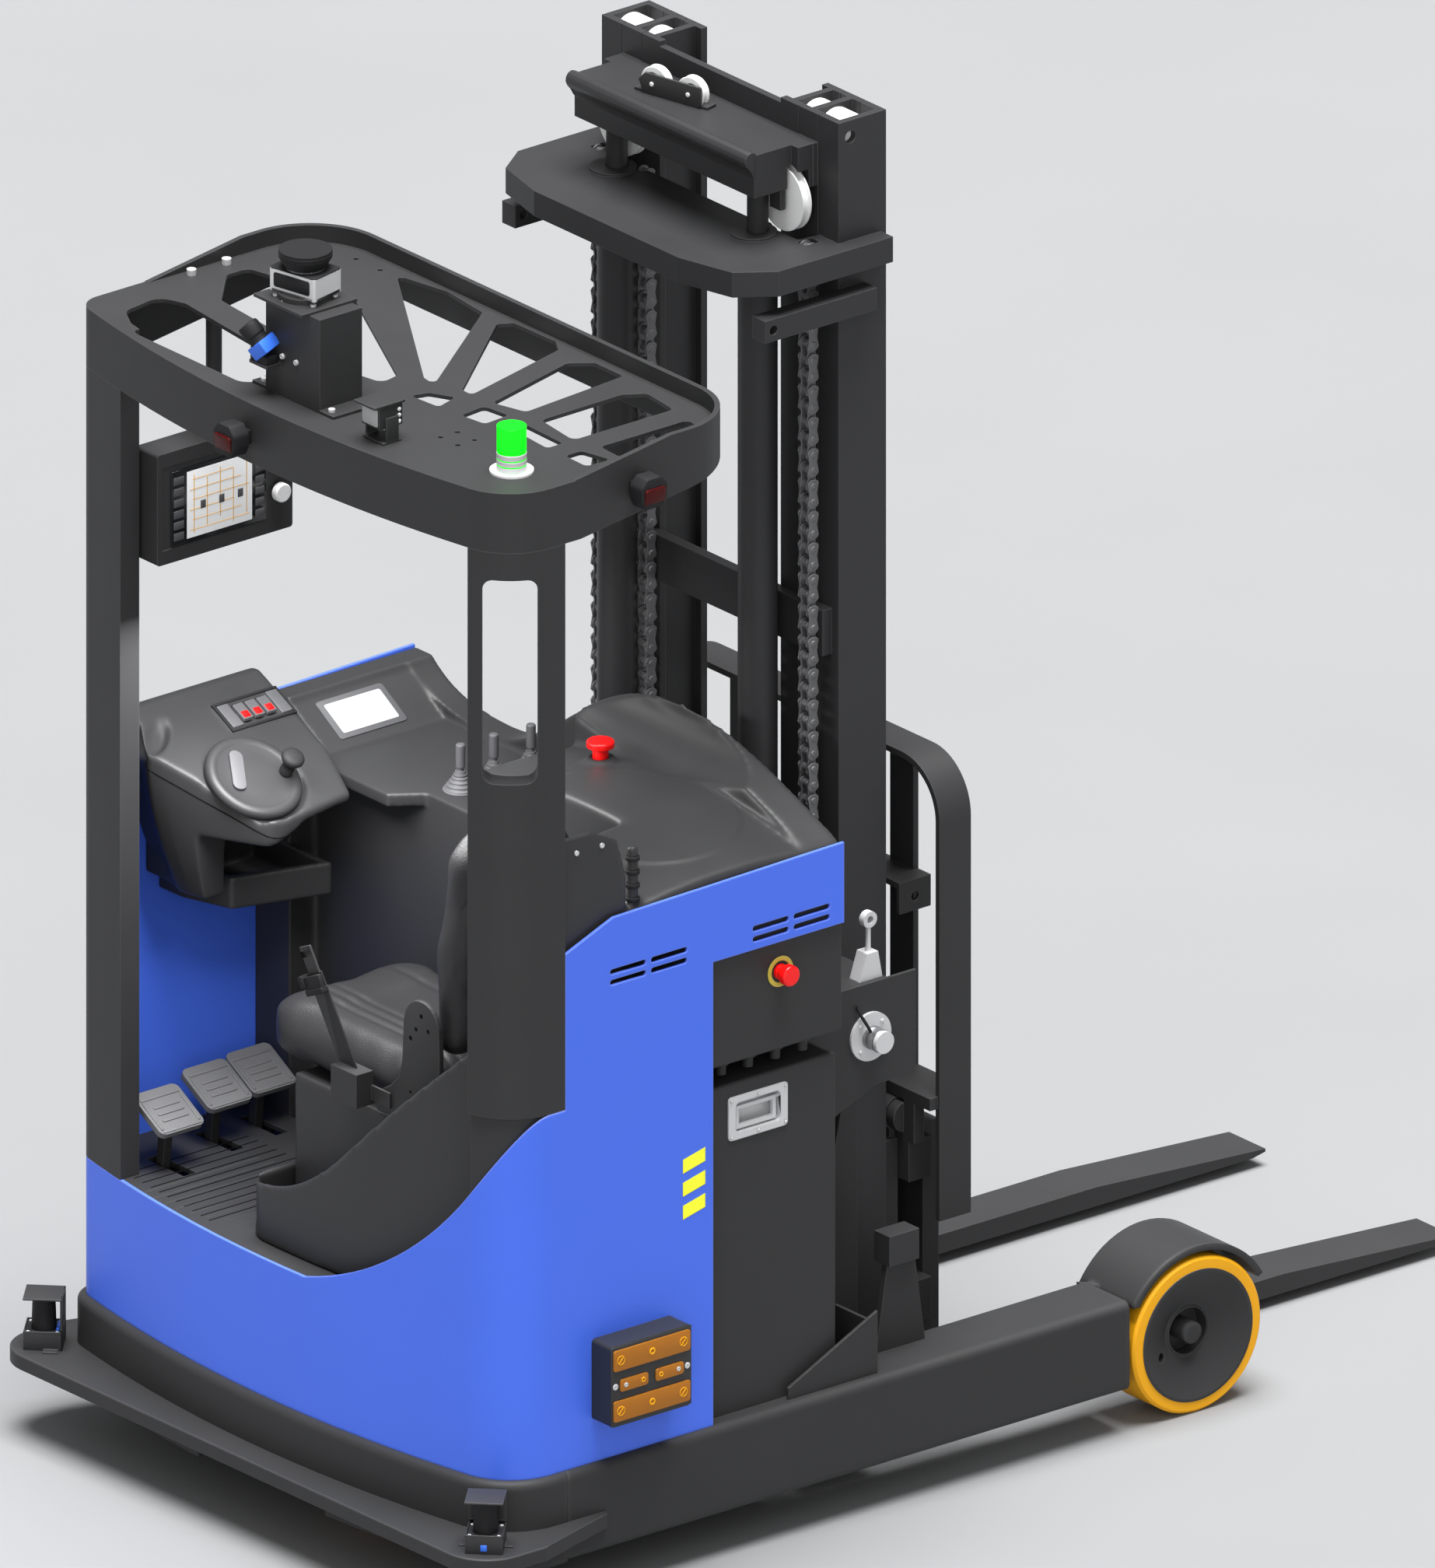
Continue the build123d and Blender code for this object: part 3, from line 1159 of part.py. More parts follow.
seat_right_x = alcove_x - 8
with BuildPart() as seat_cushion:
    with BuildSketch(Plane.XY.offset(seat_box_top + 8)):
        with Locations(((seat_left_x + seat_right_x) / 2, (seat_front_y + seat_rear_y) / 2)):
            RectangleRounded(seat_right_x - seat_left_x, seat_front_y - seat_rear_y, 40)
    extrude(amount=seat_top - seat_box_top - 8)
    fillet(seat_cushion.faces().sort_by(Axis.Z)[-1].edges(), 30)
    with BuildSketch(Plane.XY.offset(seat_box_top)):
        with Locations(((seat_left_x + seat_right_x) / 2, -125)):
            Rectangle(300, 330)
    extrude(amount=8)
seat_cushion.part.label = "seat_cushion"
export_step(seat_cushion.part, "parts/seat_cushion.step")

# Side plates carry the back on two pivots, with the belt housing, strap and tongue
hinge_y = -262.0
hinge_z = 1000.0
with BuildPart() as seat_side_plates:
    with BuildSketch(Plane.YZ.offset(seat_left_x - 10)):
        with BuildLine():
            Polyline(
                (-140, 838), (-140, 880), (-225, 930), (-225, 1060), (-250, 1093), (-290, 1093), (-330, 1050),
                (-330, 860), (-300, 838), (-140, 838),
            )
        make_face()
    extrude(amount=10)
    with BuildSketch(Plane.YZ.offset(seat_left_x)):
        with Locations((hinge_y, hinge_z)):
            Circle(10)
    extrude(amount=24)
    with Locations((seat_left_x - 10, -100, 880)):
        Box(40, 74, 66, align=(Align.MAX, Align.CENTER, Align.CENTER))
        with Locations((0, -60, -10)):
            Box(4, 60, 30, align=(Align.MAX, Align.CENTER, Align.CENTER))
    strap = Plane(origin=(seat_left_x - 26, -90, 905), x_dir=(0, 1, 0), z_dir=(-0.10, 0.42, 0.90))
    with BuildSketch(strap):
        Rectangle(46, 3)
    extrude(amount=190)
    with BuildSketch(strap.offset(190)):
        Rectangle(34, 4)
    extrude(amount=52)
seat_side_plates.part.label = "seat_side_plates"
export_step(seat_side_plates.part, "parts/seat_side_plates.step")

with BuildPart() as seat_back:
    with BuildSketch(Plane.XZ.offset(258)):
        with BuildLine():
            Polyline(
                (seat_left_x + 2, 962),
                (seat_right_x, 962),
                (seat_right_x, 1180),
                (-745, 1340),
                (-800, 1430),
                (-985, 1440),
                (-1050, 1380),
                (seat_left_x + 2, 1180),
                (seat_left_x + 2, 962),
            )
        make_face()
    extrude(amount=back_thickness)
    fillet(seat_back.faces().sort_by(Axis.Y)[-1].edges(), 24)
    with BuildSketch(Plane.YZ.offset(seat_left_x + 2)):
        with Locations((hinge_y, hinge_z)):
            Circle(26)
    extrude(amount=24)
    with BuildSketch(Plane.YZ.offset(seat_left_x)):
        with Locations((hinge_y, hinge_z)):
            Circle(10 + running_gap / 2)
    extrude(amount=28, mode=Mode.SUBTRACT)
seat_back.part.label = "seat_back"
export_step(seat_back.part, "parts/seat_back.step")


def i_rail(outer_y, width, rail_z, rail_length):
    """I-section rail on the near side, web in the middle of its width, roller grooves both sides."""
    with BuildPart() as rail:
        with BuildSketch(Plane.XY.offset(rail_z)):
            with Locations((rail_rear_x + rail_depth / 2, width / 2 - outer_y)):
                Rectangle(rail_depth, width)
                Rectangle(rail_depth - 2 * rail_flange, width, mode=Mode.SUBTRACT)
                Rectangle(rail_depth, rail_web)
        extrude(amount=rail_length)
    return rail.part


rail_x = rail_rear_x + rail_depth / 2
outer_web = mast_side - rail_web
middle_outer = mast_side - outer_rail_width - rail_gap
middle_web = middle_outer - middle_rail_width / 2 + rail_web / 2
middle_inner_web = middle_web - rail_web
inner_outer = middle_outer - middle_rail_width - rail_gap
inner_web = inner_outer - inner_rail_width / 2 + rail_web / 2
inner_inner_web = inner_web - rail_web
carriage_side = inner_outer - inner_rail_width - rail_gap
middle_bottom = rail_bottom + 4.0
inner_bottom = middle_bottom + 36.0
tie_front_x = rail_rear_x

# Reach carriage: beam between the legs, rollers in the leg channels, gusset plates toward the mast
reach_beam_rear = -300.0
reach_roller_x = (-326.0, -226.0)
reach_roller_radius = channel_height / 2 - 0.2
channel_z = leg_bottom + leg_height / 2
with BuildPart() as reach_carriage:
    with BuildSketch(Plane.XY.offset(rail_bottom)):
        with Locations(((reach_beam_rear + rail_rear_x - tie_thickness) / 2, 0)):
            Rectangle(rail_rear_x - tie_thickness - reach_beam_rear, 2 * (leg_inner - 6))
    extrude(amount=reach_beam_top - rail_bottom)
    for side in (-1, 1):
        with Locations((reach_beam_rear - 60, side * (leg_inner - 21), rail_bottom)):
            Box(84, 30, reach_beam_top - rail_bottom, align=(Align.MIN, Align.CENTER, Align.MIN))
        for roller_x in reach_roller_x:
            with BuildSketch(Plane.XZ.offset(-side * (leg_inner - 8))):
                with Locations((roller_x, channel_z)):
                    Circle(18)
            extrude(amount=-side * 20)
            with BuildSketch(Plane.XZ.offset(-side * (leg_inner + 6))):
                with Locations((roller_x, channel_z)):
                    Circle(reach_roller_radius)
            extrude(amount=-side * 34)
        with BuildSketch(Plane.XZ.offset(-side * 372)):
            with BuildLine():
                Polyline(
                    (reach_beam_rear + 6, reach_beam_top),
                    (rail_rear_x, reach_beam_top),
                    (rail_rear_x, 736),
                    (rail_rear_x - 30, 736),
                    (reach_beam_rear + 30, 330),
                    (reach_beam_rear + 6, reach_beam_top),
                )
            make_face()
        extrude(amount=-side * 28)
        with Locations((rail_rear_x, side * (mast_side + 11), reach_beam_top)):
            Box(26, 88, 506, align=(Align.MAX, Align.CENTER, Align.MIN))
reach_carriage.part.label = "reach_carriage"
export_step(reach_carriage.part, "parts/reach_carriage.step")

# Outer mast: two channels, rear tie plates, and the yoke with bosses for the lift cylinders
with BuildPart() as mast_outer:
    with BuildSketch(Plane.XY.offset(rail_bottom)):
        with Locations((rail_x, -mast_side + outer_rail_width / 2)):
            Rectangle(rail_depth, outer_rail_width)
            with Locations((0, rail_web / 2)):
                Rectangle(rail_depth - 2 * rail_flange, outer_rail_width - rail_web, mode=Mode.SUBTRACT)
    extrude(amount=mast_top - rail_bottom)
    with Locations((-354, -mast_side, yoke_top - 112)):
        Box(60, 38, 44, align=(Align.MIN, Align.MAX, Align.CENTER))
    with Locations((rail_rear_x, -mast_side, yoke_top - 112)):
        Box(205, 38, 44, align=(Align.MAX, Align.MAX, Align.CENTER))
        Box(60, 38, 44, align=(Align.MIN, Align.MAX, Align.CENTER))
    with BuildSketch(Plane.XZ.offset(mast_side)):
        with Locations((-345, yoke_top - 112)):
            Circle(9)
    extrude(amount=60, mode=Mode.SUBTRACT)
    mirror(about=Plane.XZ)
    with BuildSketch(Plane.XZ.offset(mast_side)):
        with Locations((rail_rear_x + rail_flange + 13.5, mast_top - 33)):
            Circle(12.5)
    extrude(amount=-2 * rail_web, mode=Mode.SUBTRACT)
    for tie_z, tie_tall in ((rail_bottom, 112), (820, 90), (1560, 90)):
        with Locations((rail_rear_x, 0, tie_z)):
            Box(tie_thickness, 2 * (mast_side - 20), tie_tall, align=(Align.MAX, Align.CENTER, Align.MIN))
    with BuildSketch(Plane.XY.offset(yoke_top - yoke_thickness)) as yoke_plan:
        with BuildLine():
            Polyline(
                (yoke_rear_x, -210),
                (yoke_rear_x, 210),
                (-400, 330),
                (-330, 380),
                (-60, 380),
                (-60, mast_side),
                (rail_rear_x, mast_side),
                (rail_rear_x, mast_side - outer_rail_width),
                (-205, 280),
                (-205, -280),
                (rail_rear_x, outer_rail_width - mast_side),
                (rail_rear_x, -mast_side),
                (-60, -mast_side),
                (-60, -380),
                (-330, -380),
                (-400, -330),
                (yoke_rear_x, -210),
            )
        make_face()
        for side in (-1, 1):
            with Locations((sheave_x, side * (sheave_y + sheave_diameter / 2 + chain_depth / 2))):
                Rectangle(chain_width + 6, chain_depth + 12, mode=Mode.SUBTRACT)
            with Locations((sheave_x, side * (sheave_y - sheave_diameter / 2 - chain_depth / 2))):
                Rectangle(chain_width + 16, chain_depth + 16, mode=Mode.SUBTRACT)
    extrude(amount=yoke_thickness)
    for side in (-1, 1):
        with Locations((lift_cylinder_x - 10, side * lift_cylinder_y, yoke_top)):
            Cylinder(44, 5, align=(Align.CENTER, Align.CENTER, Align.MIN))
        with Locations((lift_cylinder_x, side * lift_cylinder_y, yoke_top - yoke_thickness)):
            Cylinder(lift_rod_diameter / 2 + 1, 100, align=(Align.CENTER, Align.CENTER, Align.MIN), mode=Mode.SUBTRACT)
mast_outer.part.label = "mast_outer"
export_step(mast_outer.part, "parts/mast_outer.step")

# Middle mast: I-rails, low tie under the inner stage, top tie with arms over the rail tops
tie_rear_x = -292.0
with BuildPart() as mast_middle:
    add(i_rail(middle_outer, middle_rail_width, middle_bottom, mast_top - middle_bottom))
    with Locations((rail_rear_x - 10, middle_rail_width / 2 - middle_outer, tie_top - tie_height)):
        Box(20, middle_rail_width - 4, tie_height, align=(Align.MIN, Align.CENTER, Align.MIN))
    mirror(about=Plane.XZ)
    with Locations((rail_x, 0, middle_bottom)):
        Box(rail_depth - 20, 2 * middle_inner_web, 32, align=(Align.CENTER, Align.CENTER, Align.MIN))
    with Locations(((tie_rear_x - 205) / 2, 0, tie_top - tie_height)):
        Box(-205 - tie_rear_x, 2 * 262, tie_height, align=(Align.CENTER, Align.CENTER, Align.MIN))
    with Locations((-205, 0, tie_top - tie_height)):
        Box(45, 2 * 282, tie_height, align=(Align.MIN, Align.CENTER, Align.MIN))
    for side in (-1, 1):
        with Locations((sheave_x, side * sheave_y, sheave_z)):
            with Locations(Rotation(0, 90, 0)):
                Cylinder(sheave_diameter / 2 + chain_depth + 6, sheave_width + 16, mode=Mode.SUBTRACT)
                Cylinder(sheave_pin, sheave_width + 38)
            for cheek_x in (-24, 24):
                with Locations((cheek_x, side * 6, tie_top - tie_height - sheave_z + 4)):
                    Box(12, 30, 46, align=(Align.CENTER, Align.CENTER, Align.MAX))
mast_middle.part.label = "mast_middle"
export_step(mast_middle.part, "parts/mast_middle.step")

# Inner mast: I-rails, rear tie plates, and its lower rollers in the middle stage
with BuildPart() as mast_inner:
    add(i_rail(inner_outer, inner_rail_width, inner_bottom, mast_top - inner_bottom))
    with BuildSketch(Plane.XZ.offset(inner_web)):
        with Locations((rail_x, inner_bottom + 60)):
            Circle(roller_diameter / 2)
    extrude(amount=middle_inner_web - inner_web - 1)
    mirror(about=Plane.XZ)
    for tie_z, tie_tall in ((inner_bottom, 60), (1180, 70), (mast_top - 90, 80)):
        with Locations((rail_rear_x, 0, tie_z)):
            Box(rail_flange, 2 * carriage_side + 4, tie_tall, align=(Align.MIN, Align.CENTER, Align.MIN))
mast_inner.part.label = "mast_inner"
export_step(mast_inner.part, "parts/mast_inner.step")

# Rollers at the top of the outer stage, running in the grooves of the middle stage
with BuildPart() as outer_rollers:
    with BuildSketch(Plane.XZ.offset(middle_web + 1)):
        with Locations((rail_x, mast_top - 46)):
            Circle(roller_diameter / 2)
    extrude(amount=outer_web - middle_web - 1)
    mirror(about=Plane.XZ)
outer_rollers.part.label = "outer_rollers"
export_step(outer_rollers.part, "parts/outer_rollers.step")

# Rollers of the middle stage: at its top for the inner stage, at its bottom for the outer stage
with BuildPart() as middle_rollers:
    with BuildSketch(Plane.XZ.offset(inner_web + 1)):
        with Locations((rail_x, mast_top - 46)):
            Circle(roller_diameter / 2)
    extrude(amount=middle_inner_web - inner_web - 1)
    with BuildSketch(Plane.XZ.offset(middle_web)):
        with Locations((rail_x, middle_bottom + 60)):
            Circle(roller_diameter / 2)
    extrude(amount=outer_web - middle_web - 1)
    mirror(about=Plane.XZ)
middle_rollers.part.label = "middle_rollers"
export_step(middle_rollers.part, "parts/middle_rollers.step")

# Chain sheaves on pins in the top tie of the middle stage, and the hose pulleys on their bracket
with BuildPart() as chain_sheaves:
    for side in (-1, 1):
        with BuildSketch(Plane(origin=(sheave_x, side * sheave_y, sheave_z), x_dir=(1, 0, 0), z_dir=(0, 1, 0))):
            with BuildLine():
                Polyline(
                    (-sheave_width / 2, sheave_pin + running_gap / 2),
                    (-sheave_width / 2, sheave_diameter / 2 + 5),
                    (-sheave_width / 2 + 3, sheave_diameter / 2 + 5),
                    (-sheave_width / 2 + 4, sheave_diameter / 2),
                    (sheave_width / 2 - 4, sheave_diameter / 2),
                    (sheave_width / 2 - 3, sheave_diameter / 2 + 5),
                    (sheave_width / 2, sheave_diameter / 2 + 5),
                    (sheave_width / 2, sheave_pin + running_gap / 2),
                    (-sheave_width / 2, sheave_pin + running_gap / 2),
                )
            make_face()
        revolve(axis=Axis((sheave_x, side * sheave_y, sheave_z), (1, 0, 0)))
    with Locations(Location((-226, 50, tie_top), (0, 0, 13))):
        Box(26, 170, 6, align=(Align.CENTER, Align.CENTER, Align.MIN))
        for pulley_y in (-45, 45):
            with Locations((9, pulley_y, 0)):
                Box(5, 24, 44, align=(Align.CENTER, Align.CENTER, Align.MIN))
            with Locations(Location((-2, pulley_y, 26), (0, 90, 0))):
                Cylinder(17, 18)
chain_sheaves.part.label = "chain_sheaves"
export_step(chain_sheaves.part, "parts/chain_sheaves.step")

# Lift cylinders standing on the reach carriage, their rods pushing the top tie
with BuildPart() as lift_cylinders:
    for side in (-1, 1):
        with Locations((lift_cylinder_x, side * lift_cylinder_y, reach_beam_top)):
            Cylinder(lift_cylinder_diameter / 2, cylinder_top - reach_beam_top, align=(Align.CENTER, Align.CENTER, Align.MIN))
            Cylinder(lift_cylinder_diameter / 2 + 2, 60, align=(Align.CENTER, Align.CENTER, Align.MIN))
            with Locations((0, 0, 40)):
                Cylinder(
                    lift_rod_diameter / 2 + running_gap / 2, 2400, align=(Align.CENTER, Align.CENTER, Align.MIN), mode=Mode.SUBTRACT
                )
lift_cylinders.part.label = "lift_cylinders"
export_step(lift_cylinders.part, "parts/lift_cylinders.step")

with BuildPart() as lift_rods:
    for side in (-1, 1):
        with Locations((lift_cylinder_x, side * lift_cylinder_y, reach_beam_top + 60)):
            Cylinder(
                lift_rod_diameter / 2,
                tie_top - tie_height - reach_beam_top - 60,
                align=(Align.CENTER, Align.CENTER, Align.MIN),
            )
lift_rods.part.label = "lift_rods"
export_step(lift_rods.part, "parts/lift_rods.step")

# Lift chains: the strands up to their anchors and guide blocks in the yoke
chain_outer_y = sheave_y + sheave_diameter / 2 + chain_depth / 2
chain_inner_y = sheave_y - sheave_diameter / 2 - chain_depth / 2
with BuildPart() as lift_chains:
    for side in (-1, 1):
        with Locations((sheave_x, side * chain_outer_y, 450)):
            Box(chain_width, chain_depth, yoke_top - 450, align=(Align.CENTER, Align.CENTER, Align.MIN))
        with Locations((sheave_x, side * chain_outer_y, yoke_top - yoke_thickness)):
            Box(chain_width + 6, chain_depth + 12, yoke_thickness, align=(Align.CENTER, Align.CENTER, Align.MIN))
        with Locations((sheave_x, side * chain_inner_y, 450)):
            Box(chain_width, chain_depth, yoke_top - 450, align=(Align.CENTER, Align.CENTER, Align.MIN))
        with Locations((sheave_x, side * chain_inner_y, yoke_top - yoke_thickness)):
            Box(chain_width + 16, chain_depth + 16, yoke_thickness, align=(Align.CENTER, Align.CENTER, Align.MIN))
lift_chains.part.label = "lift_chains"
export_step(lift_chains.part, "parts/lift_chains.step")

# Fork carriage: side plates with rollers in the inner stage, cross plates in front of the rails
plate_rear_x = rail_x - 40.0
cross_x = rail_rear_x + rail_depth + 6.0
cross_thick = 40.0
head_x = cross_x + cross_thick + 2.0
with BuildPart() as fork_carriage:
    for side in (-1, 1):
        with Locations((rail_x - 40, side * (carriage_side - 44), 170)):
            Box(cross_x - rail_x + 42, 26, 420, align=(Align.MIN, Align.CENTER, Align.MIN))
        for roller_z in (222, 530):
            with BuildSketch(Plane.XZ.offset(-side * (carriage_side - 32))):
                with Locations((rail_x, roller_z)):
                    Circle(16)
            extrude(amount=-side * 10)
            with BuildSketch(Plane.XZ.offset(-side * (carriage_side - 22))):
                with Locations((rail_x, roller_z)):
                    Circle(rail_depth / 2 - rail_flange - running_gap / 2)
            extrude(amount=-side * (inner_inner_web - carriage_side + 21))
    for cross_z, cross_tall in ((160, 90), (460, 100)):
        with Locations((cross_x, 0, cross_z)):
            Box(cross_thick, 2 * 322, cross_tall, align=(Align.MIN, Align.CENTER, Align.MIN))
    for side in (-1, 1):
        with Locations((cross_x, side * 300, 160)):
            Box(cross_thick, 44, 400, align=(Align.MIN, Align.CENTER, Align.MIN))
        with BuildSketch(Plane.XZ.offset(-side * 290)):
            with Locations((tilt_x, tilt_z)):
                Circle(34)
            with Locations((tilt_x - 14, tilt_z - 34)):
                Rectangle(12, 68)
        extrude(amount=-side * 24)
    with BuildSketch(Plane.XZ.offset(400)):
        with Locations((tilt_x, tilt_z)):
            Circle(tilt_pin / 2 + running_gap / 2)
    extrude(amount=-800, mode=Mode.SUBTRACT)
fork_carriage.part.label = "fork_carriage"
export_step(fork_carriage.part, "parts/fork_carriage.step")

# Fork head tilting on two pins, with the load backrest hoop
head_thick = shank_front_x - fork_thickness - head_x
with BuildPart() as fork_head:
    for bar_z, bar_tall in ((200, 80), (480, 80)):
        with Locations((head_x, 0, bar_z)):
            Box(head_thick, 2 * 352, bar_tall, align=(Align.MIN, Align.CENTER, Align.MIN))
    for side in (-1, 1):
        with Locations((head_x, side * 150, 200)):
            Box(head_thick, 50, 360, align=(Align.MIN, Align.CENTER, Align.MIN))
        with BuildSketch(Plane.XZ.offset(-side * 315)):
            with Locations((tilt_x, tilt_z)):
                Circle(30)
            with Locations((head_x + 10, tilt_z - 40)):
                Rectangle(20, 90)
        extrude(amount=-side * 22)
        with BuildSketch(Plane.XZ.offset(-side * 288)):
            with Locations((tilt_x, tilt_z)):
                Circle(tilt_pin / 2)
        extrude(amount=-side * 34)
        with Locations((head_x, side * 352, 560)):
            Box(24, 30, 86, align=(Align.MIN, Align.CENTER, Align.MIN))
        with Locations((shank_front_x - 12, side * 233, head_bar_z)):
            Box(12, 68, backrest_top - head_bar_z - 6, align=(Align.MIN, Align.CENTER, Align.MIN))
        with Locations((head_x, side * 233, head_bar_z - 60)):
            Box(24, 68, 84, align=(Align.MIN, Align.CENTER, Align.MIN))
    with Locations((head_x, 0, head_bar_z)):
        Box(shank_front_x - head_x, 2 * (backrest_side - 6), 24, align=(Align.MIN, Align.CENTER, Align.MIN))
    with Locations((shank_front_x - backrest_bar, 0, 1040)):
        Box(backrest_bar, 2 * 299, 12, align=(Align.MIN, Align.CENTER, Align.MIN))
    for side in (-1, 1):
        with Locations((shank_front_x - backrest_bar, side * 299, 990)):
            Box(backrest_bar, 8, 62, align=(Align.MIN, Align.CENTER, Align.MIN))
            with Locations((backrest_bar / 2, 0, 28)):
                with Locations(Rotation(90, 0, 0)):
                    Cylinder(9, 30, mode=Mode.SUBTRACT)
    with BuildSketch(Plane.YZ.offset(shank_front_x - backrest_bar)) as hoop:
        with Locations((0, (backrest_top + 419) / 2)):
            Rectangle(2 * backrest_side, backrest_top - 419)
        fillet(hoop.vertices().group_by(Axis.Y)[-1], 110)
        fillet(hoop.vertices().sort_by(Axis.Y)[-2:], 0.5)
        offset(amount=-backrest_thickness, mode=Mode.SUBTRACT)
    extrude(amount=backrest_bar)
    with Locations((shank_front_x - backrest_bar, 0, 419)):
        Box(backrest_bar, 2 * (backrest_side - backrest_thickness), 60, align=(Align.MIN, Align.CENTER, Align.CENTER), mode=Mode.SUBTRACT)
fork_head.part.label = "fork_head"
export_step(fork_head.part, "parts/fork_head.step")

# Forks hooked over the upper bar of the fork head
with BuildPart() as forks:
    for side in (-1, 1):
        with BuildSketch(Plane.XZ.offset(-side * fork_y - fork_width / 2)):
            with BuildLine():
                Polyline(
                    (shank_front_x - fork_thickness + 0.3, fork_bottom + 20),
                    (shank_front_x - fork_thickness + 20, fork_bottom),
                    (fork_tip_x - 30, fork_bottom),
                    (fork_tip_x, fork_bottom + 6),
                    (fork_tip_x, fork_bottom + 12),
                    (fork_tip_x - 400, fork_bottom + fork_thickness),
                    (shank_front_x + 10, fork_bottom + fork_thickness),
                    (shank_front_x, fork_bottom + fork_thickness + 10),
                    (shank_front_x, 576),
                    (shank_front_x - fork_thickness - 20, 576),
                    (shank_front_x - fork_thickness - 20, 560.3),
                    (shank_front_x - fork_thickness + 0.3, 560.3),
                    (shank_front_x - fork_thickness + 0.3, fork_bottom + 20),
                )
            make_face()
        extrude(amount=fork_width)
forks.part.label = "forks"
export_step(forks.part, "parts/forks.step")

# Drive unit: housing ring on the deck round the wheel, top plate, motor above
motor_radius = 118.0
housing_inner = drive_bay_radius - 10
housing_top = drive_wheel_diameter + 20
drive_hub_z = drive_wheel_diameter / 2
with BuildPart() as drive_unit:
    with Locations((drive_x, drive_y, leg_top)):
        Cylinder(drive_bay_radius + 10, 10, align=(Align.CENTER, Align.CENTER, Align.MIN))
        Cylinder(drive_bay_radius, housing_top + 14 - leg_top, align=(Align.CENTER, Align.CENTER, Align.MIN))
        Cylinder(
            housing_inner, housing_top - leg_top, align=(Align.CENTER, Align.CENTER, Align.MIN), mode=Mode.SUBTRACT
        )
    with Locations((drive_x, drive_y, housing_top + 14)):
        Cylinder(motor_radius, 130, align=(Align.CENTER, Align.CENTER, Align.MIN))
    fillet(drive_unit.faces().sort_by(Axis.Z)[-1].edges(), 14)
    with Locations((drive_x, drive_y, housing_top - 1)):
        Cylinder(36 + running_gap / 2, 60, align=(Align.CENTER, Align.CENTER, Align.MIN), mode=Mode.SUBTRACT)
drive_unit.part.label = "drive_unit"
export_step(drive_unit.part, "parts/drive_unit.step")

# Wheel fork turning in the drive unit, with the stub axle of the drive wheel
with BuildPart() as drive_fork:
    with Locations((drive_x, drive_y, housing_top)):
        Cylinder(112, 12, align=(Align.CENTER, Align.CENTER, Align.MAX))
        Cylinder(36, 56, align=(Align.CENTER, Align.CENTER, Align.MIN))
    with Locations((drive_x, drive_y + drive_wheel_width / 2 + 6, drive_hub_z)):
        Box(110, 34, housing_top - drive_hub_z - 2, align=(Align.CENTER, Align.MIN, Align.MIN))
        with Locations(Rotation(90, 0, 0)):
            Cylinder(60, 34, align=(Align.CENTER, Align.CENTER, Align.MAX))
            Cylinder(24, drive_wheel_width + 4, align=(Align.CENTER, Align.CENTER, Align.MIN))
drive_fork.part.label = "drive_fork"
export_step(drive_fork.part, "parts/drive_fork.step")

with BuildPart() as drive_wheel:
    with BuildSketch(Plane.XZ.offset(-drive_y - drive_wheel_width / 2)):
        with Locations((drive_x, drive_hub_z)):
            Circle(drive_wheel_diameter / 2)
            Circle(24 + running_gap / 2, mode=Mode.SUBTRACT)
    extrude(amount=drive_wheel_width)
    fillet(drive_wheel.edges().filter_by(GeomType.CIRCLE).group_by(SortBy.RADIUS)[-1], 6)
drive_wheel.part.label = "drive_wheel"
export_step(drive_wheel.part, "parts/drive_wheel.step")

# Brackets on the right side: encoder plate on the battery frame, leg tray, sensor stand
with BuildPart() as side_brackets:
    with BuildSketch(Plane.XZ.offset(497)):
        with BuildLine():
            Polyline(
                (battery_front_x, 700), (battery_front_x, 913), (-294, 977), (-106, 977), (-106, 773), (-200, 773),
                (battery_front_x, 700),
            )
        make_face()
        with Locations((-216, 873)):
            Circle(30, mode=Mode.SUBTRACT)
    extrude(amount=6)
    with Locations((battery_front_x, -497, 700)):
        Box(8, 60, 213, align=(Align.MIN, Align.MIN, Align.MIN))
    with Locations((-294, -369, 971)):
        Box(123, 128, 6, align=(Align.MIN, Align.MAX, Align.MIN))
    with BuildSketch(Plane.XZ.offset(612)):
        with BuildLine():
            Polyline((-500, leg_top), (-500, 283), (-290, 383), (-290, leg_top), (-500, leg_top))
        make_face()
    extrude(amount=6)
    with Locations((-290, -612, leg_top)):
        Box(6, 112, 100, align=(Align.MAX, Align.MIN, Align.MIN))
    with BuildSketch(Plane.XZ.offset(528)):
        with BuildLine():
            Polyline((-232, leg_top), (-205, 430), (-140, 430), (-116, leg_top), (-232, leg_top))
        make_face()
    extrude(amount=14)
side_brackets.part.label = "side_brackets"
export_step(side_brackets.part, "parts/side_brackets.step")

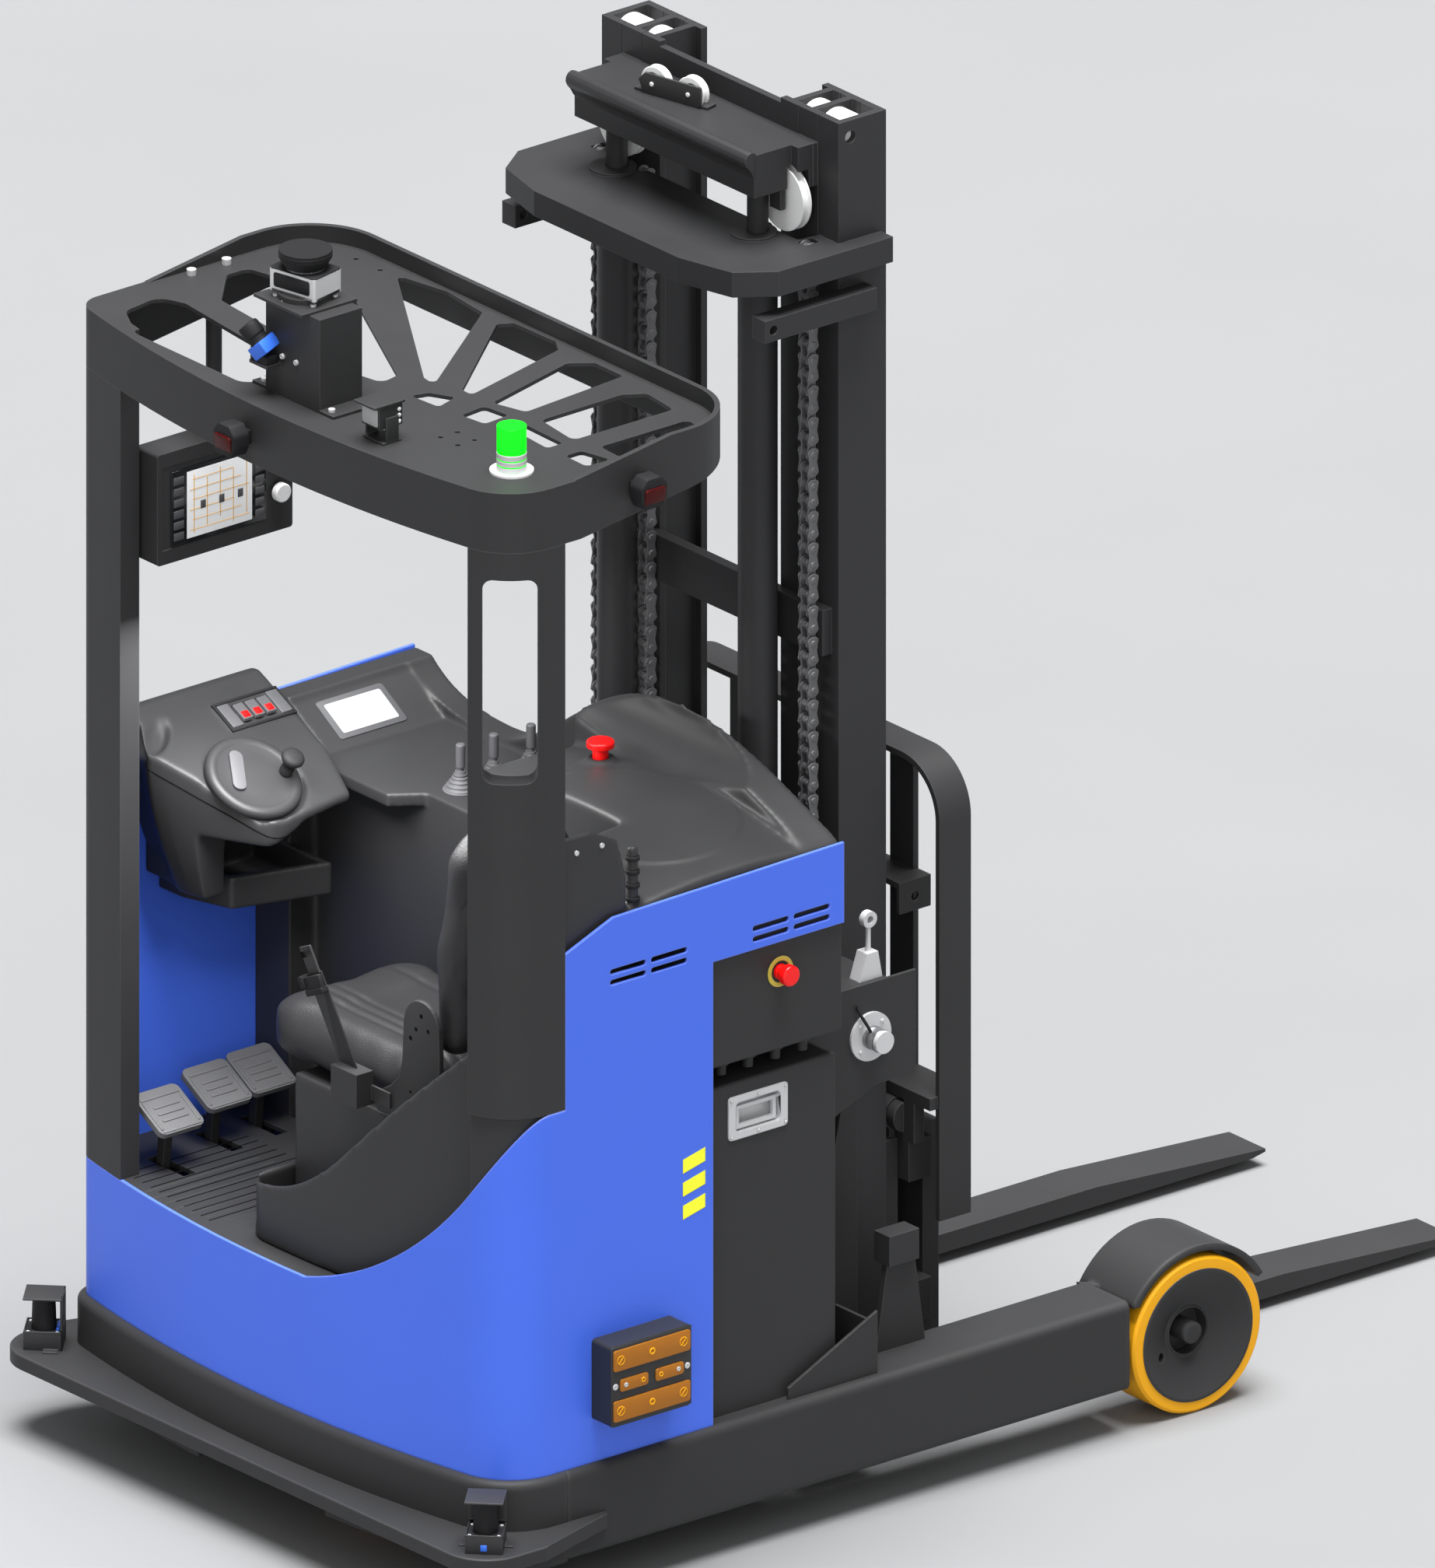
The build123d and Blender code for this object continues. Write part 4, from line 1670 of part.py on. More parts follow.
# Silver devices: reach encoder, its end block with a ring end, the small sensor
with BuildPart() as reach_encoder:
    with BuildSketch(Plane.XZ.offset(503)):
        with Locations((-216, 873)):
            Circle(47.5)
    extrude(amount=6)
    with BuildSketch(Plane.XZ.offset(509)):
        with Locations((-216, 873)):
            Circle(21.5)
    extrude(amount=40)
    with BuildSketch(Plane.XZ.offset(462)):
        with BuildLine():
            Polyline((-230, 977), (-212, 1030), (-186, 1030), (-176, 977), (-230, 977))
        make_face()
    extrude(amount=30)
    with Locations((-198, -477, 1030)):
        Cylinder(5, 50, align=(Align.CENTER, Align.CENTER, Align.MIN))
    with BuildSketch(Plane.XZ.offset(470)):
        with Locations((-198, 1092)):
            Circle(16)
            Circle(7, mode=Mode.SUBTRACT)
    extrude(amount=14)
    with Locations((-177, -535, 430)):
        Box(70, 44, 60, align=(Align.CENTER, Align.CENTER, Align.MIN))
reach_encoder.part.label = "reach_encoder"
export_step(reach_encoder.part, "parts/reach_encoder.step")

# Fasteners seen on the outside, one solid each
with BuildPart() as fasteners:
    for bolt_x, bolt_y in ((tower_x - 36, 100), (tower_x + 36, 100), (tower_x - 36, -96), (tower_x + 36, -96)):
        with Locations((bolt_x, tower_y + bolt_y, guard_top + 6)):
            Cylinder(6.5, 6, align=(Align.CENTER, Align.CENTER, Align.MIN))
    for bolt_x, bolt_y in ((-924, 600), (-841, 600)):
        with Locations((bolt_x, bolt_y, guard_top)):
            Cylinder(9, 12, align=(Align.CENTER, Align.CENTER, Align.MIN))
    for bolt_x in (-1000, -940):
        with Locations((bolt_x, -shield_y - 14, 1470)):
            with Locations(Rotation(90, 0, 0)):
                Cylinder(5, 3, align=(Align.CENTER, Align.CENTER, Align.MIN))
fasteners.part.label = "fasteners"
export_step(fasteners.part, "parts/fasteners.step")
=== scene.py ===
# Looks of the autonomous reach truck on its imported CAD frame. Metres, Z up, forks along +X.
import json
import math

import bmesh
import bpy
from mathutils import Matrix, Vector
from mathutils.bvhtree import BVHTree


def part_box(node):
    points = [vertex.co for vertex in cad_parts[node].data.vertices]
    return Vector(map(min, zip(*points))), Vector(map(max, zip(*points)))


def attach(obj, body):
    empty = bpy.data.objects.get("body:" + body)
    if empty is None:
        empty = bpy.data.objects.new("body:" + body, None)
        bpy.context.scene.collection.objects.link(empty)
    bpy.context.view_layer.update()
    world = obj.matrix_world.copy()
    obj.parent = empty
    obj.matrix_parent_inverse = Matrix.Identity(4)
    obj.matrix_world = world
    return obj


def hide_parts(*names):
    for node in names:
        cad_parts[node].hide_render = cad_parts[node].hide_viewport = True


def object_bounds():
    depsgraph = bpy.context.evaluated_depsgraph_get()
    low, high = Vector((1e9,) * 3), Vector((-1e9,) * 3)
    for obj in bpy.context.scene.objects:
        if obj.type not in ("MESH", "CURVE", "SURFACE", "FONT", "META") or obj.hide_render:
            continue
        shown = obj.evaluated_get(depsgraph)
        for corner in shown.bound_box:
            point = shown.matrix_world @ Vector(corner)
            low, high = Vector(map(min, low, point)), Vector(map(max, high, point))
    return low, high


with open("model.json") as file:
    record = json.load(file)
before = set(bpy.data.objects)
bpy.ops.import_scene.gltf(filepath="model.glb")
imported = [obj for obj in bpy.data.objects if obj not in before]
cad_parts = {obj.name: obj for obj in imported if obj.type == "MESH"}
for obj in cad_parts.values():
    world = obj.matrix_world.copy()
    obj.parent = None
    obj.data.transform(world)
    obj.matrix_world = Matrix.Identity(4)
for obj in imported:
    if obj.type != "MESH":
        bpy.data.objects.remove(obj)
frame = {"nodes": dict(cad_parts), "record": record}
cad_box = [[float(value) for value in corner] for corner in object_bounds()]
MM = 0.001

# the photograph's parallel view, in degrees and metres
VIEW_AZIMUTH = -39.1
VIEW_ELEVATION = 22.04
VIEW_SPAN = 2.88
VIEW_TARGET = (-0.1666, 0.0, 1.2012)
CAMERA_DISTANCE = 9.0

# directions that pieces face
TO_NEAR = (0, -1, 0)
TO_REAR = (-1, 0, 0)
TO_FRONT = (1, 0, 0)
TO_FAR = (0, 1, 0)
UP = (0, 0, 1)

# where the CAD holds what the scene dresses, in millimetres
LOAD_AXLE_X, LOAD_AXLE_Z, LOAD_RIM = 451.0, 152.0, 130.5
DRIVE_AXLE_X, DRIVE_AXLE_Z, DRIVE_RIM = -905.0, 170.0, 150.0
GUARD_TOP = 2215
WARNING_LAMP = (-1074, -517)
CAMERA_SPOT = (-1157, -242)
LASER_SPOT = (-1124, 22)
SIDE_STOP = (-521, -618, 1115)
HANDLE_X, HANDLE_Z, BATTERY_SIDE = -560, 842, 600
CONTACT_X, CONTACT_Z, CONTACT_FACE, PLATE_FACE = -880, 425, 685.0, 688.0
ENCODER_X, ENCODER_Z = -216, 873
SHELL_SIDE = 628
DASH_TOP = 1258.2
DISPLAY_FACE = 430.0
HINGE_OUTER, HINGE_INNER = -1093, -1083
PEDAL_PLACES = ((-1081, 466), (-935, 505), (-823, 515))
LEVER_PLACES = ((-640, 166), (-561, 166), (-478, 160))
CHAIN_X, CHAIN_LOW, CHAIN_HIGH = -197, 465, 2366
SCANNER_X, SCANNER_Y = -1238, 643
SEAT_MIDDLE_X = -894
BACK_MIDDLE_X = -893

# tilts in degrees
CONSOLE_TILT = 26
DISC_TILT = 32

# seat cloth
CLOTH_FRAMES = 16
SETTLE_PASSES = 24
PAD_ROOM = 0.004


def to_scene(obj):
    """Puts a new object into the scene."""
    bpy.context.scene.collection.objects.link(obj)


# camera and light

def studio():
    """Sets the photograph's parallel view, a pale backdrop and soft light."""
    azimuth, elevation = math.radians(VIEW_AZIMUTH), math.radians(VIEW_ELEVATION)
    level = math.cos(elevation)
    back = Vector((math.sin(azimuth) * level, -math.cos(azimuth) * level, math.sin(elevation)))
    camera = bpy.data.objects.new("camera", bpy.data.cameras.new("camera"))
    camera.data.type = "ORTHO"
    camera.data.ortho_scale = VIEW_SPAN
    camera.data.clip_end = 60.0
    camera.location = Vector(VIEW_TARGET) + back * CAMERA_DISTANCE
    camera.rotation_euler = back.to_track_quat("Z", "Y").to_euler()
    to_scene(camera)
    bpy.context.scene.camera = camera
    bpy.context.scene.view_settings.view_transform = "Standard"

    world = bpy.data.worlds.new("studio")
    world.use_nodes = True
    backdrop = world.node_tree.nodes["Background"]
    backdrop.inputs["Color"].default_value = (0.93, 0.94, 0.96, 1.0)
    backdrop.inputs["Strength"].default_value = 0.29
    bpy.context.scene.world = world

    for name, power, spread, direction in (
        ("key", 8.9, 38.0, (-0.02, -0.05, 1.0)),
        ("fill", 1.18, 60.0, (-0.58, -0.72, 0.40)),
    ):
        lamp = bpy.data.lights.new(name, "SUN")
        lamp.energy = power
        lamp.angle = math.radians(spread)
        holder = bpy.data.objects.new(name, lamp)
        holder.rotation_euler = Vector(direction).to_track_quat("Z", "Y").to_euler()
        to_scene(holder)

    # a soft panel of light inside the cab, as the photograph shows no shade under the guard
    panel_light = bpy.data.lights.new("cab_light", "AREA")
    panel_light.shape = "RECTANGLE"
    panel_light.size = 0.30
    panel_light.size_y = 0.60
    panel_light.energy = 16.0
    cab = bpy.data.objects.new("cab_light", panel_light)
    cab.location = (-1.07, 0.08, 1.64)
    cab.visible_camera = False
    to_scene(cab)


# materials

# socket numbers of Blender's colour mix node
MIX_A, MIX_B, MIX_OUT = 6, 7, 2
GLOSS_SPREAD = 0.07


def shade(colour, factor):
    """A colour made darker or lighter, with full alpha."""
    return [min(1.0, channel * factor) for channel in colour] + [1.0]


def finish(name, colour, rough=0.5, metal=0.0, spec=0.3, vary=0.1, patch=6.0, grain=900.0,
           bump=0.08, edge=0.0, stretch=(1.0, 1.0, 1.0), cells=False, glow=0.0, round_edge=0.0025):
    """A procedural finish: uneven colour and gloss, a fine grain, rounded edges, and a painted highlight that
    lightens the edges.
    """
    mat = bpy.data.materials.new(name)
    mat.use_nodes = True
    nodes, links = mat.node_tree.nodes, mat.node_tree.links
    shader = nodes["Principled BSDF"]
    shader.inputs["Metallic"].default_value = metal
    shader.inputs["Specular IOR Level"].default_value = spec
    coords = nodes.new("ShaderNodeTexCoord")
    mapping = nodes.new("ShaderNodeMapping")
    mapping.inputs["Scale"].default_value = stretch
    links.new(coords.outputs["Object"], mapping.inputs["Vector"])
    cloud = nodes.new("ShaderNodeTexNoise")
    cloud.inputs["Scale"].default_value = patch
    cloud.inputs["Detail"].default_value = 5.0
    links.new(coords.outputs["Object"], cloud.inputs["Vector"])
    tone = nodes.new("ShaderNodeMix")
    tone.data_type = "RGBA"
    tone.inputs[MIX_A].default_value = shade(colour, 1.0 - vary)
    tone.inputs[MIX_B].default_value = shade(colour, 1.0 + vary)
    links.new(cloud.outputs[0], tone.inputs[0])
    gloss = nodes.new("ShaderNodeMapRange")
    gloss.inputs["To Min"].default_value = max(0.02, rough - GLOSS_SPREAD)
    gloss.inputs["To Max"].default_value = min(1.0, rough + GLOSS_SPREAD)
    links.new(cloud.outputs[0], gloss.inputs["Value"])
    links.new(gloss.outputs["Result"], shader.inputs["Roughness"])
    fine = nodes.new("ShaderNodeTexVoronoi" if cells else "ShaderNodeTexNoise")
    fine.inputs["Scale"].default_value = grain
    links.new(mapping.outputs["Vector"], fine.inputs["Vector"])
    relief = nodes.new("ShaderNodeBump")
    relief.inputs["Strength"].default_value = bump
    relief.inputs["Distance"].default_value = 0.001
    links.new(fine.outputs[0], relief.inputs["Height"])
    links.new(relief.outputs["Normal"], shader.inputs["Normal"])
    top = tone.outputs[MIX_OUT]
    if round_edge:
        soft = nodes.new("ShaderNodeBevel")
        soft.samples = 4
        soft.inputs["Radius"].default_value = round_edge
        links.new(soft.outputs["Normal"], relief.inputs["Normal"])
        if edge:
            place = nodes.new("ShaderNodeNewGeometry")
            turn = nodes.new("ShaderNodeVectorMath")
            turn.operation = "DOT_PRODUCT"
            links.new(soft.outputs["Normal"], turn.inputs[0])
            links.new(place.outputs["Normal"], turn.inputs[1])
            # where the rounded and the true normal part, the edge is painted lighter as a highlight
            edge_highlight_mask = nodes.new("ShaderNodeMapRange")
            edge_highlight_mask.inputs["From Min"].default_value = 0.995
            edge_highlight_mask.inputs["From Max"].default_value = 0.86
            edge_highlight_mask.inputs["To Max"].default_value = 0.75
            links.new(turn.outputs["Value"], edge_highlight_mask.inputs["Value"])
            lighter = nodes.new("ShaderNodeMix")
            lighter.data_type = "RGBA"
            links.new(edge_highlight_mask.outputs["Result"], lighter.inputs[0])
            links.new(top, lighter.inputs[MIX_A])
            lighter.inputs[MIX_B].default_value = [min(1.0, c + edge * (1.2 - c)) for c in colour] + [1.0]
            top = lighter.outputs[MIX_OUT]
    links.new(top, shader.inputs["Base Color"])
    if glow:
        shader.inputs["Emission Color"].default_value = (*colour, 1.0)
        shader.inputs["Emission Strength"].default_value = glow
    return mat


dark = finish("dark_paint", (0.030, 0.030, 0.0312), 0.5, spec=0.22, edge=0.06, bump=0.05)
steel_dark = finish("mast_steel", (0.028, 0.028, 0.0295), 0.46, spec=0.25, edge=0.05, grain=500.0,
                    stretch=(1.0, 1.0, 0.05), bump=0.06)
frame_paint = finish("frame_paint", (0.030, 0.030, 0.0312), 0.5, spec=0.22, edge=0.03, bump=0.05,
                     round_edge=0.016)
blue = finish("blue_paint", (0.060, 0.148, 0.76), 0.42, spec=0.3, vary=0.04, edge=0.18, bump=0.04,
              round_edge=0.004)
plastic = finish("moulded_plastic", (0.027, 0.027, 0.0282), 0.42, spec=0.3, grain=1400.0,
                 bump=0.1, edge=0.03)
rubber = finish("black_rubber", (0.012, 0.012, 0.013), 0.62, spec=0.2, grain=1800.0,
                bump=0.15)
shadow = finish("seam_shadow", (0.004, 0.004, 0.004), 0.8, spec=0.05, round_edge=0.0)
links_metal = finish("chain_metal", (0.125, 0.125, 0.13), 0.4, metal=0.3, spec=0.4, grain=500.0,
                     edge=0.12)
pedal_grey = finish("pedal_grey", (0.15, 0.15, 0.155), 0.5, edge=0.08)
trim = finish("grey_trim", (0.075, 0.075, 0.08), 0.5, edge=0.08)
steel = finish("worked_steel", (0.32, 0.32, 0.33), 0.38, metal=0.9, grain=300.0,
               stretch=(1.0, 1.0, 0.06), bump=0.06)
silver = finish("silver_casting", (0.58, 0.58, 0.59), 0.4, metal=0.25, bump=0.08, vary=0.06)
white = finish("white_nylon", (0.74, 0.74, 0.74), 0.45, bump=0.04, vary=0.04)
copper = finish("contact_copper", (0.40, 0.145, 0.013), 0.42, metal=0.25, bump=0.06, vary=0.12)
tyre = finish("orange_tyre", (0.80, 0.37, 0.004), 0.55, vary=0.12, grain=220.0, bump=0.12)
red = finish("red_plastic", (0.86, 0.004, 0.004), 0.3, spec=0.4, vary=0.05, bump=0.02)
lens = finish("lamp_lens", (0.055, 0.0015, 0.0015), 0.35, spec=0.15, vary=0.2, grain=260.0, bump=0.5,
              cells=True)
green = finish("green_lens", (0.0, 0.9, 0.005), 0.25, glow=1.1, vary=0.05, grain=240.0, bump=0.4)
yellow = finish("yellow_mark", (0.95, 0.95, 0.035), 0.5, vary=0.04, bump=0.03)
ring_yellow = finish("yellow_ring", (0.50, 0.40, 0.06), 0.45, vary=0.08)
leather = finish("seat_leather", (0.020, 0.020, 0.0215), 0.46, spec=0.32, grain=420.0, bump=0.35,
                 cells=True, round_edge=0.0)
webbing = finish("belt_webbing", (0.024, 0.024, 0.026), 0.75, grain=900.0, stretch=(1.0, 6.0, 1.0),
                 bump=0.4)
glass = finish("screen_glass", (0.008, 0.009, 0.010), 0.12, spec=0.5, vary=0.2, bump=0.01)
lit = finish("screen_white", (0.80, 0.81, 0.82), 0.35, glow=0.12, vary=0.02, bump=0.01,
             round_edge=0.0)
lcd = finish("screen_grey", (0.40, 0.41, 0.41), 0.3, vary=0.05, bump=0.02, round_edge=0.0)
orange_line = finish("screen_orange", (0.75, 0.42, 0.08), 0.5, bump=0.01, round_edge=0.0)
scanner_blue = finish("scanner_blue", (0.04, 0.16, 0.75), 0.4, bump=0.03)


# geometry helpers, all in millimetres

def axes(origin, z=(0, 0, 1), x=(1, 0, 0)):
    """A place with its own directions: z is where a turned or extruded shape points."""
    z = Vector(z).normalized()
    x = Vector(x)
    if abs(z.dot(x)) > 0.99 * x.length:
        x = Vector((0, 0, 1))
    x = (x - z * x.dot(z)).normalized()
    m = Matrix((x, z.cross(x), z)).transposed().to_4x4()
    m.translation = Vector(origin)
    return m


FLAT = Matrix.Identity(4)


def turned(bm, profile, m=FLAT, steps=40):
    """Adds the turned shape of a profile of (radius, height) points; a radius of 0 closes it."""
    rings = []
    for radius, height in profile:
        count = steps if radius > 1e-6 else 1
        turns = [2.0 * math.pi * k / steps for k in range(count)]
        rings.append([bm.verts.new(m @ Vector((radius * math.cos(a), radius * math.sin(a), height))) for a in turns])
    for low, high in zip(rings, rings[1:]):
        for k in range(steps):
            corners = [low[k % len(low)], low[(k + 1) % len(low)], high[(k + 1) % len(high)], high[k % len(high)]]
            face = [v for n, v in enumerate(corners) if v not in corners[:n]]
            if len(face) > 2:
                bm.faces.new(face)


def ring(bm, inner, outer, low, high, m=FLAT, steps=40, soft=0.6):
    """Adds a washer or tube with softened rims."""
    profile = [(inner, low), (outer - soft, low), (outer, low + soft), (outer, high - soft), (outer - soft, high),
               (inner + soft, high), (inner, high - soft), (inner, low)]
    turned(bm, profile, m, steps)


def prism(bm, outline, low, high, m=FLAT, bevel=0.0):
    """Adds an extruded outline with bevelled edges."""
    bottom = [bm.verts.new(m @ Vector((x, y, low))) for x, y in outline]
    top = [bm.verts.new(m @ Vector((x, y, high))) for x, y in outline]
    faces = [bm.faces.new(bottom[::-1]), bm.faces.new(top)]
    for k in range(len(outline)):
        n = (k + 1) % len(outline)
        faces.append(bm.faces.new((bottom[k], bottom[n], top[n], top[k])))
    if bevel:
        edges = list({e for f in faces for e in f.edges})
        bmesh.ops.bevel(bm, geom=edges, offset=bevel, segments=2, profile=0.6, affect="EDGES", clamp_overlap=True)


def block(bm, low, high, m=FLAT, bevel=1.0):
    """Adds a bevelled block between two corners."""
    outline = [(low[0], low[1]), (high[0], low[1]), (high[0], high[1]), (low[0], high[1])]
    prism(bm, outline, low[2], high[2], m, bevel)


def rounded(width, height, radius, steps=6):
    """Returns a rectangle with round corners, centred on its place."""
    points = []
    for sx, sy, start in ((1, 1, 0), (-1, 1, 90), (-1, -1, 180), (1, -1, 270)):
        for k in range(steps + 1):
            a = math.radians(start + 90.0 * k / steps)
            points.append((sx * (width / 2 - radius) + radius * math.cos(a),
                           sy * (height / 2 - radius) + radius * math.sin(a)))
    return points


def slid(x, y, z):
    """A shift to be put after a place."""
    return Matrix.Translation((x, y, z))


def spun(degrees, axis="Z"):
    """A turn to be put after a place."""
    return Matrix.Rotation(math.radians(degrees), 4, axis)


def on_circle(radius, degrees):
    """The point of a circle at an angle."""
    return radius * math.cos(math.radians(degrees)), radius * math.sin(math.radians(degrees))


def body_of(node):
    """The body that a CAD node rides on."""
    return next(b for b, members in frame["record"]["behaviour"]["bodies"].items() if node in members)


def tree_of(mesh):
    """A search tree of a mesh, for casting rays on it."""
    return BVHTree.FromPolygons([v.co for v in mesh.vertices], [p.vertices for p in mesh.polygons])


def piece(name, bm, mat, body, smooth=40.0, subdivide=0):
    """Turns the built shape into an object in metres that rides on a body."""
    bmesh.ops.recalc_face_normals(bm, faces=bm.faces[:])
    mesh = bpy.data.meshes.new(name)
    bm.to_mesh(mesh)
    bm.free()
    mesh.transform(Matrix.Scale(MM, 4))
    for face in mesh.polygons:
        face.use_smooth = True
    mesh.set_sharp_from_angle(angle=math.radians(smooth))
    mesh.materials.append(mat)
    obj = bpy.data.objects.new(name, mesh)
    to_scene(obj)
    if subdivide:
        obj.modifiers.new("round", "SUBSURF").levels = subdivide
        obj.modifiers["round"].render_levels = subdivide
    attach(obj, body)
    return obj


def wire(name, points, radius, mat, body, closed=False):
    """A thin round line through points, such as a seam, a bead or a wire."""
    curve = bpy.data.curves.new(name, "CURVE")
    curve.dimensions = "3D"
    curve.bevel_depth = radius * MM
    curve.bevel_resolution = 2
    line = curve.splines.new("POLY")
    line.points.add(len(points) - 1)
    for spot, point in zip(line.points, points):
        spot.co = (point[0] * MM, point[1] * MM, point[2] * MM, 1.0)
    line.use_cyclic_u = closed
    curve.materials.append(mat)
    obj = bpy.data.objects.new(name, curve)
    to_scene(obj)
    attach(obj, body)
    return obj


def landing(tree, start, way):
    """Where a ray from a point lands on a mesh, in millimetres, or None."""
    hit = tree.ray_cast(Vector(start) * MM, Vector(way).normalized())[0]
    return None if hit is None else hit / MM


def dress(mat, *names):
    """Gives CAD nodes a finish."""
    for name in names:
        obj = frame["nodes"][name]
        if not obj.material_slots:
            obj.data.materials.append(mat)
        for spot in obj.material_slots:
            spot.material = mat


def recolour(node, default, *rules):
    """A copy of a node whose faces get finishes by where they are, in place of the node."""
    source = frame["nodes"][node]
    mesh = source.data.copy()
    mesh.name = node + "_look"
    owner = {}
    root = list(range(len(mesh.vertices)))

    def find(k):
        while root[k] != k:
            root[k] = root[root[k]]
            k = root[k]
        return k

    for vertex in mesh.vertices:
        key = tuple(round(c, 5) for c in vertex.co)
        root[find(vertex.index)] = find(owner.setdefault(key, vertex.index))
    for face in mesh.polygons:
        for k in face.vertices:
            root[find(k)] = find(face.vertices[0])
    boxes = {}
    for vertex in mesh.vertices:
        low, high = boxes.setdefault(find(vertex.index), ([1e9] * 3, [-1e9] * 3))
        for k in range(3):
            low[k] = min(low[k], vertex.co[k] / MM)
            high[k] = max(high[k], vertex.co[k] / MM)
    mats = [default]
    dropped = []
    mesh.materials.clear()
    mesh.materials.append(default)
    for face in mesh.polygons:
        centre = face.center / MM
        low, high = boxes[find(face.vertices[0])]
        face.material_index = 0
        for mat, test in rules:
            if test(centre, low, high):
                if mat is None:
                    dropped.append(face.index)
                    break
                if mat not in mats:
                    mats.append(mat)
                    mesh.materials.append(mat)
                face.material_index = mats.index(mat)
                break
    if dropped:
        bm = bmesh.new()
        bm.from_mesh(mesh)
        bm.faces.ensure_lookup_table()
        bmesh.ops.delete(bm, geom=[bm.faces[k] for k in dropped], context="FACES")
        bm.to_mesh(mesh)
        bm.free()
    obj = bpy.data.objects.new(node + "_look", mesh)
    to_scene(obj)
    body = body_of(node)
    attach(obj, body)
    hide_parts(node)
    return obj


def near(c, x, y, reach):
    """Whether a face lies within a reach of a plan position."""
    return math.hypot(c[0] - x, c[1] - y) < reach


studio()

# finishes of the CAD nodes that stay as they are
dress(frame_paint, "base_skirt", "straddle_legs")
dress(dark, "sensor_plate", "cab_floor", "electronics_box", "corner_posts",
      "overhead_guard", "lidar_tower", "side_brackets", "fork_carriage", "fork_head", "forks", "reach_carriage",
      "hmi_box", "drive_unit", "drive_fork", "lift_rods")
dress(steel_dark, "mast_outer", "mast_middle", "mast_inner", "lift_cylinders")
dress(blue, "body_shell")
dress(red, "estop_hood", "estop_side")
dress(trim, "rocker_1", "rocker_2", "rocker_3")
dress(white, "hmi_knob", "hmi_button", "middle_rollers", "outer_rollers")
dress(silver, "handle_bail", "fasteners")

# wheels
for node in ("load_wheel_right", "load_wheel_left"):
    recolour(node, dark, (tyre, lambda c, low, high: math.hypot(c[0] - LOAD_AXLE_X, c[2] - LOAD_AXLE_Z) > LOAD_RIM))
recolour("drive_wheel", dark,
         (tyre, lambda c, low, high: math.hypot(c[0] - DRIVE_AXLE_X, c[2] - DRIVE_AXLE_Z) > DRIVE_RIM))

# lamps, sensors and contacts
recolour("guard_lamps", plastic,
         (green, lambda c, low, high: near(c, *WARNING_LAMP, 29)),
         (white, lambda c, low, high: near(c, *WARNING_LAMP, 50)),
         (None, lambda c, low, high: c[0] < -1200 or c[1] < -600
          or c[2] > GUARD_TOP + 1 and near(c, *CAMERA_SPOT, 60)))
recolour("tower_sensors", rubber,
         (silver, lambda c, low, high: 2423 < c[2] < 2464 and near(c, *LASER_SPOT, 90)),
         (None, lambda c, low, high: c[2] < 2418))
recolour("chain_sheaves", white, (dark, lambda c, low, high: c[2] > 2556))
recolour("charging_contacts", plastic,
         (None, lambda c, low, high: high[1] < 1.5 - CONTACT_FACE or c[1] < 0.5 - CONTACT_FACE))
recolour("seat_side_plates", dark,
         (None, lambda c, low, high: HINGE_OUTER - 0.5 < c[0] < HINGE_INNER + 0.5 and c[1] < -139.0 and c[2] > 837.0),
         (webbing, lambda c, low, high: near(c, -1109, -90, 60) and c[2] > 905))
recolour("reach_encoder", silver, (dark, lambda c, low, high: c[2] < 600))
recolour("battery", dark,
         (silver, lambda c, low, high: abs(c[0] - HANDLE_X) < 70.5 and abs(c[2] - HANDLE_Z) < 43.5
          and c[1] < 40 - BATTERY_SIDE and abs(c[1] + BATTERY_SIDE) > 0.5))
for number in (1, 2, 3):
    dress(trim, f"lever_{number}")
    recolour(f"pedal_{number}", pedal_grey, (dark, lambda c, low, high: c[2] < 600))


# seat cushions, blown up as cloth and then sewn

def inflated(name, build, pressure, cap, voxel=0.006):
    """Blows a padded form up as cloth with pressure and evens it out."""
    bm = bmesh.new()
    build(bm)
    bmesh.ops.recalc_face_normals(bm, faces=bm.faces[:])
    mesh = bpy.data.meshes.new(name)
    bm.to_mesh(mesh)
    bm.free()
    mesh.transform(Matrix.Scale(MM, 4))
    obj = bpy.data.objects.new(name, mesh)
    to_scene(obj)
    shape = obj.modifiers.new("voxels", "REMESH")
    shape.mode = "VOXEL"
    shape.voxel_size = voxel
    even = obj.modifiers.new("even", "SMOOTH")
    even.factor = 0.5
    even.iterations = 6
    graph = bpy.context.evaluated_depsgraph_get()
    flat = bpy.data.meshes.new_from_object(obj.evaluated_get(graph))
    obj.modifiers.clear()
    obj.data = flat
    rest = [v.co.copy() for v in flat.vertices]
    cloth = obj.modifiers.new("cloth", "CLOTH")
    cloth.settings.use_pressure = True
    cloth.settings.uniform_pressure_force = pressure
    cloth.settings.effector_weights.gravity = 0.0
    cloth.settings.quality = 4
    cloth.point_cache.frame_start = 1
    cloth.point_cache.frame_end = 20
    for step in range(1, CLOTH_FRAMES + 1):
        bpy.context.scene.frame_set(step)
    graph = bpy.context.evaluated_depsgraph_get()
    blown = bpy.data.meshes.new_from_object(obj.evaluated_get(graph))
    obj.modifiers.clear()
    bpy.context.scene.frame_set(1)
    for vertex, start in zip(flat.vertices, rest):
        move = blown.vertices[vertex.index].co - start
        if move.length > cap * MM:
            move *= cap * MM / move.length
        vertex.co = start + move
    bm = bmesh.new()
    bm.from_mesh(flat)
    for step in range(SETTLE_PASSES):
        bmesh.ops.smooth_vert(bm, verts=bm.verts[:], factor=0.5,
                              use_axis_x=True, use_axis_y=True, use_axis_z=True)
    bm.to_mesh(flat)
    bm.free()
    return obj


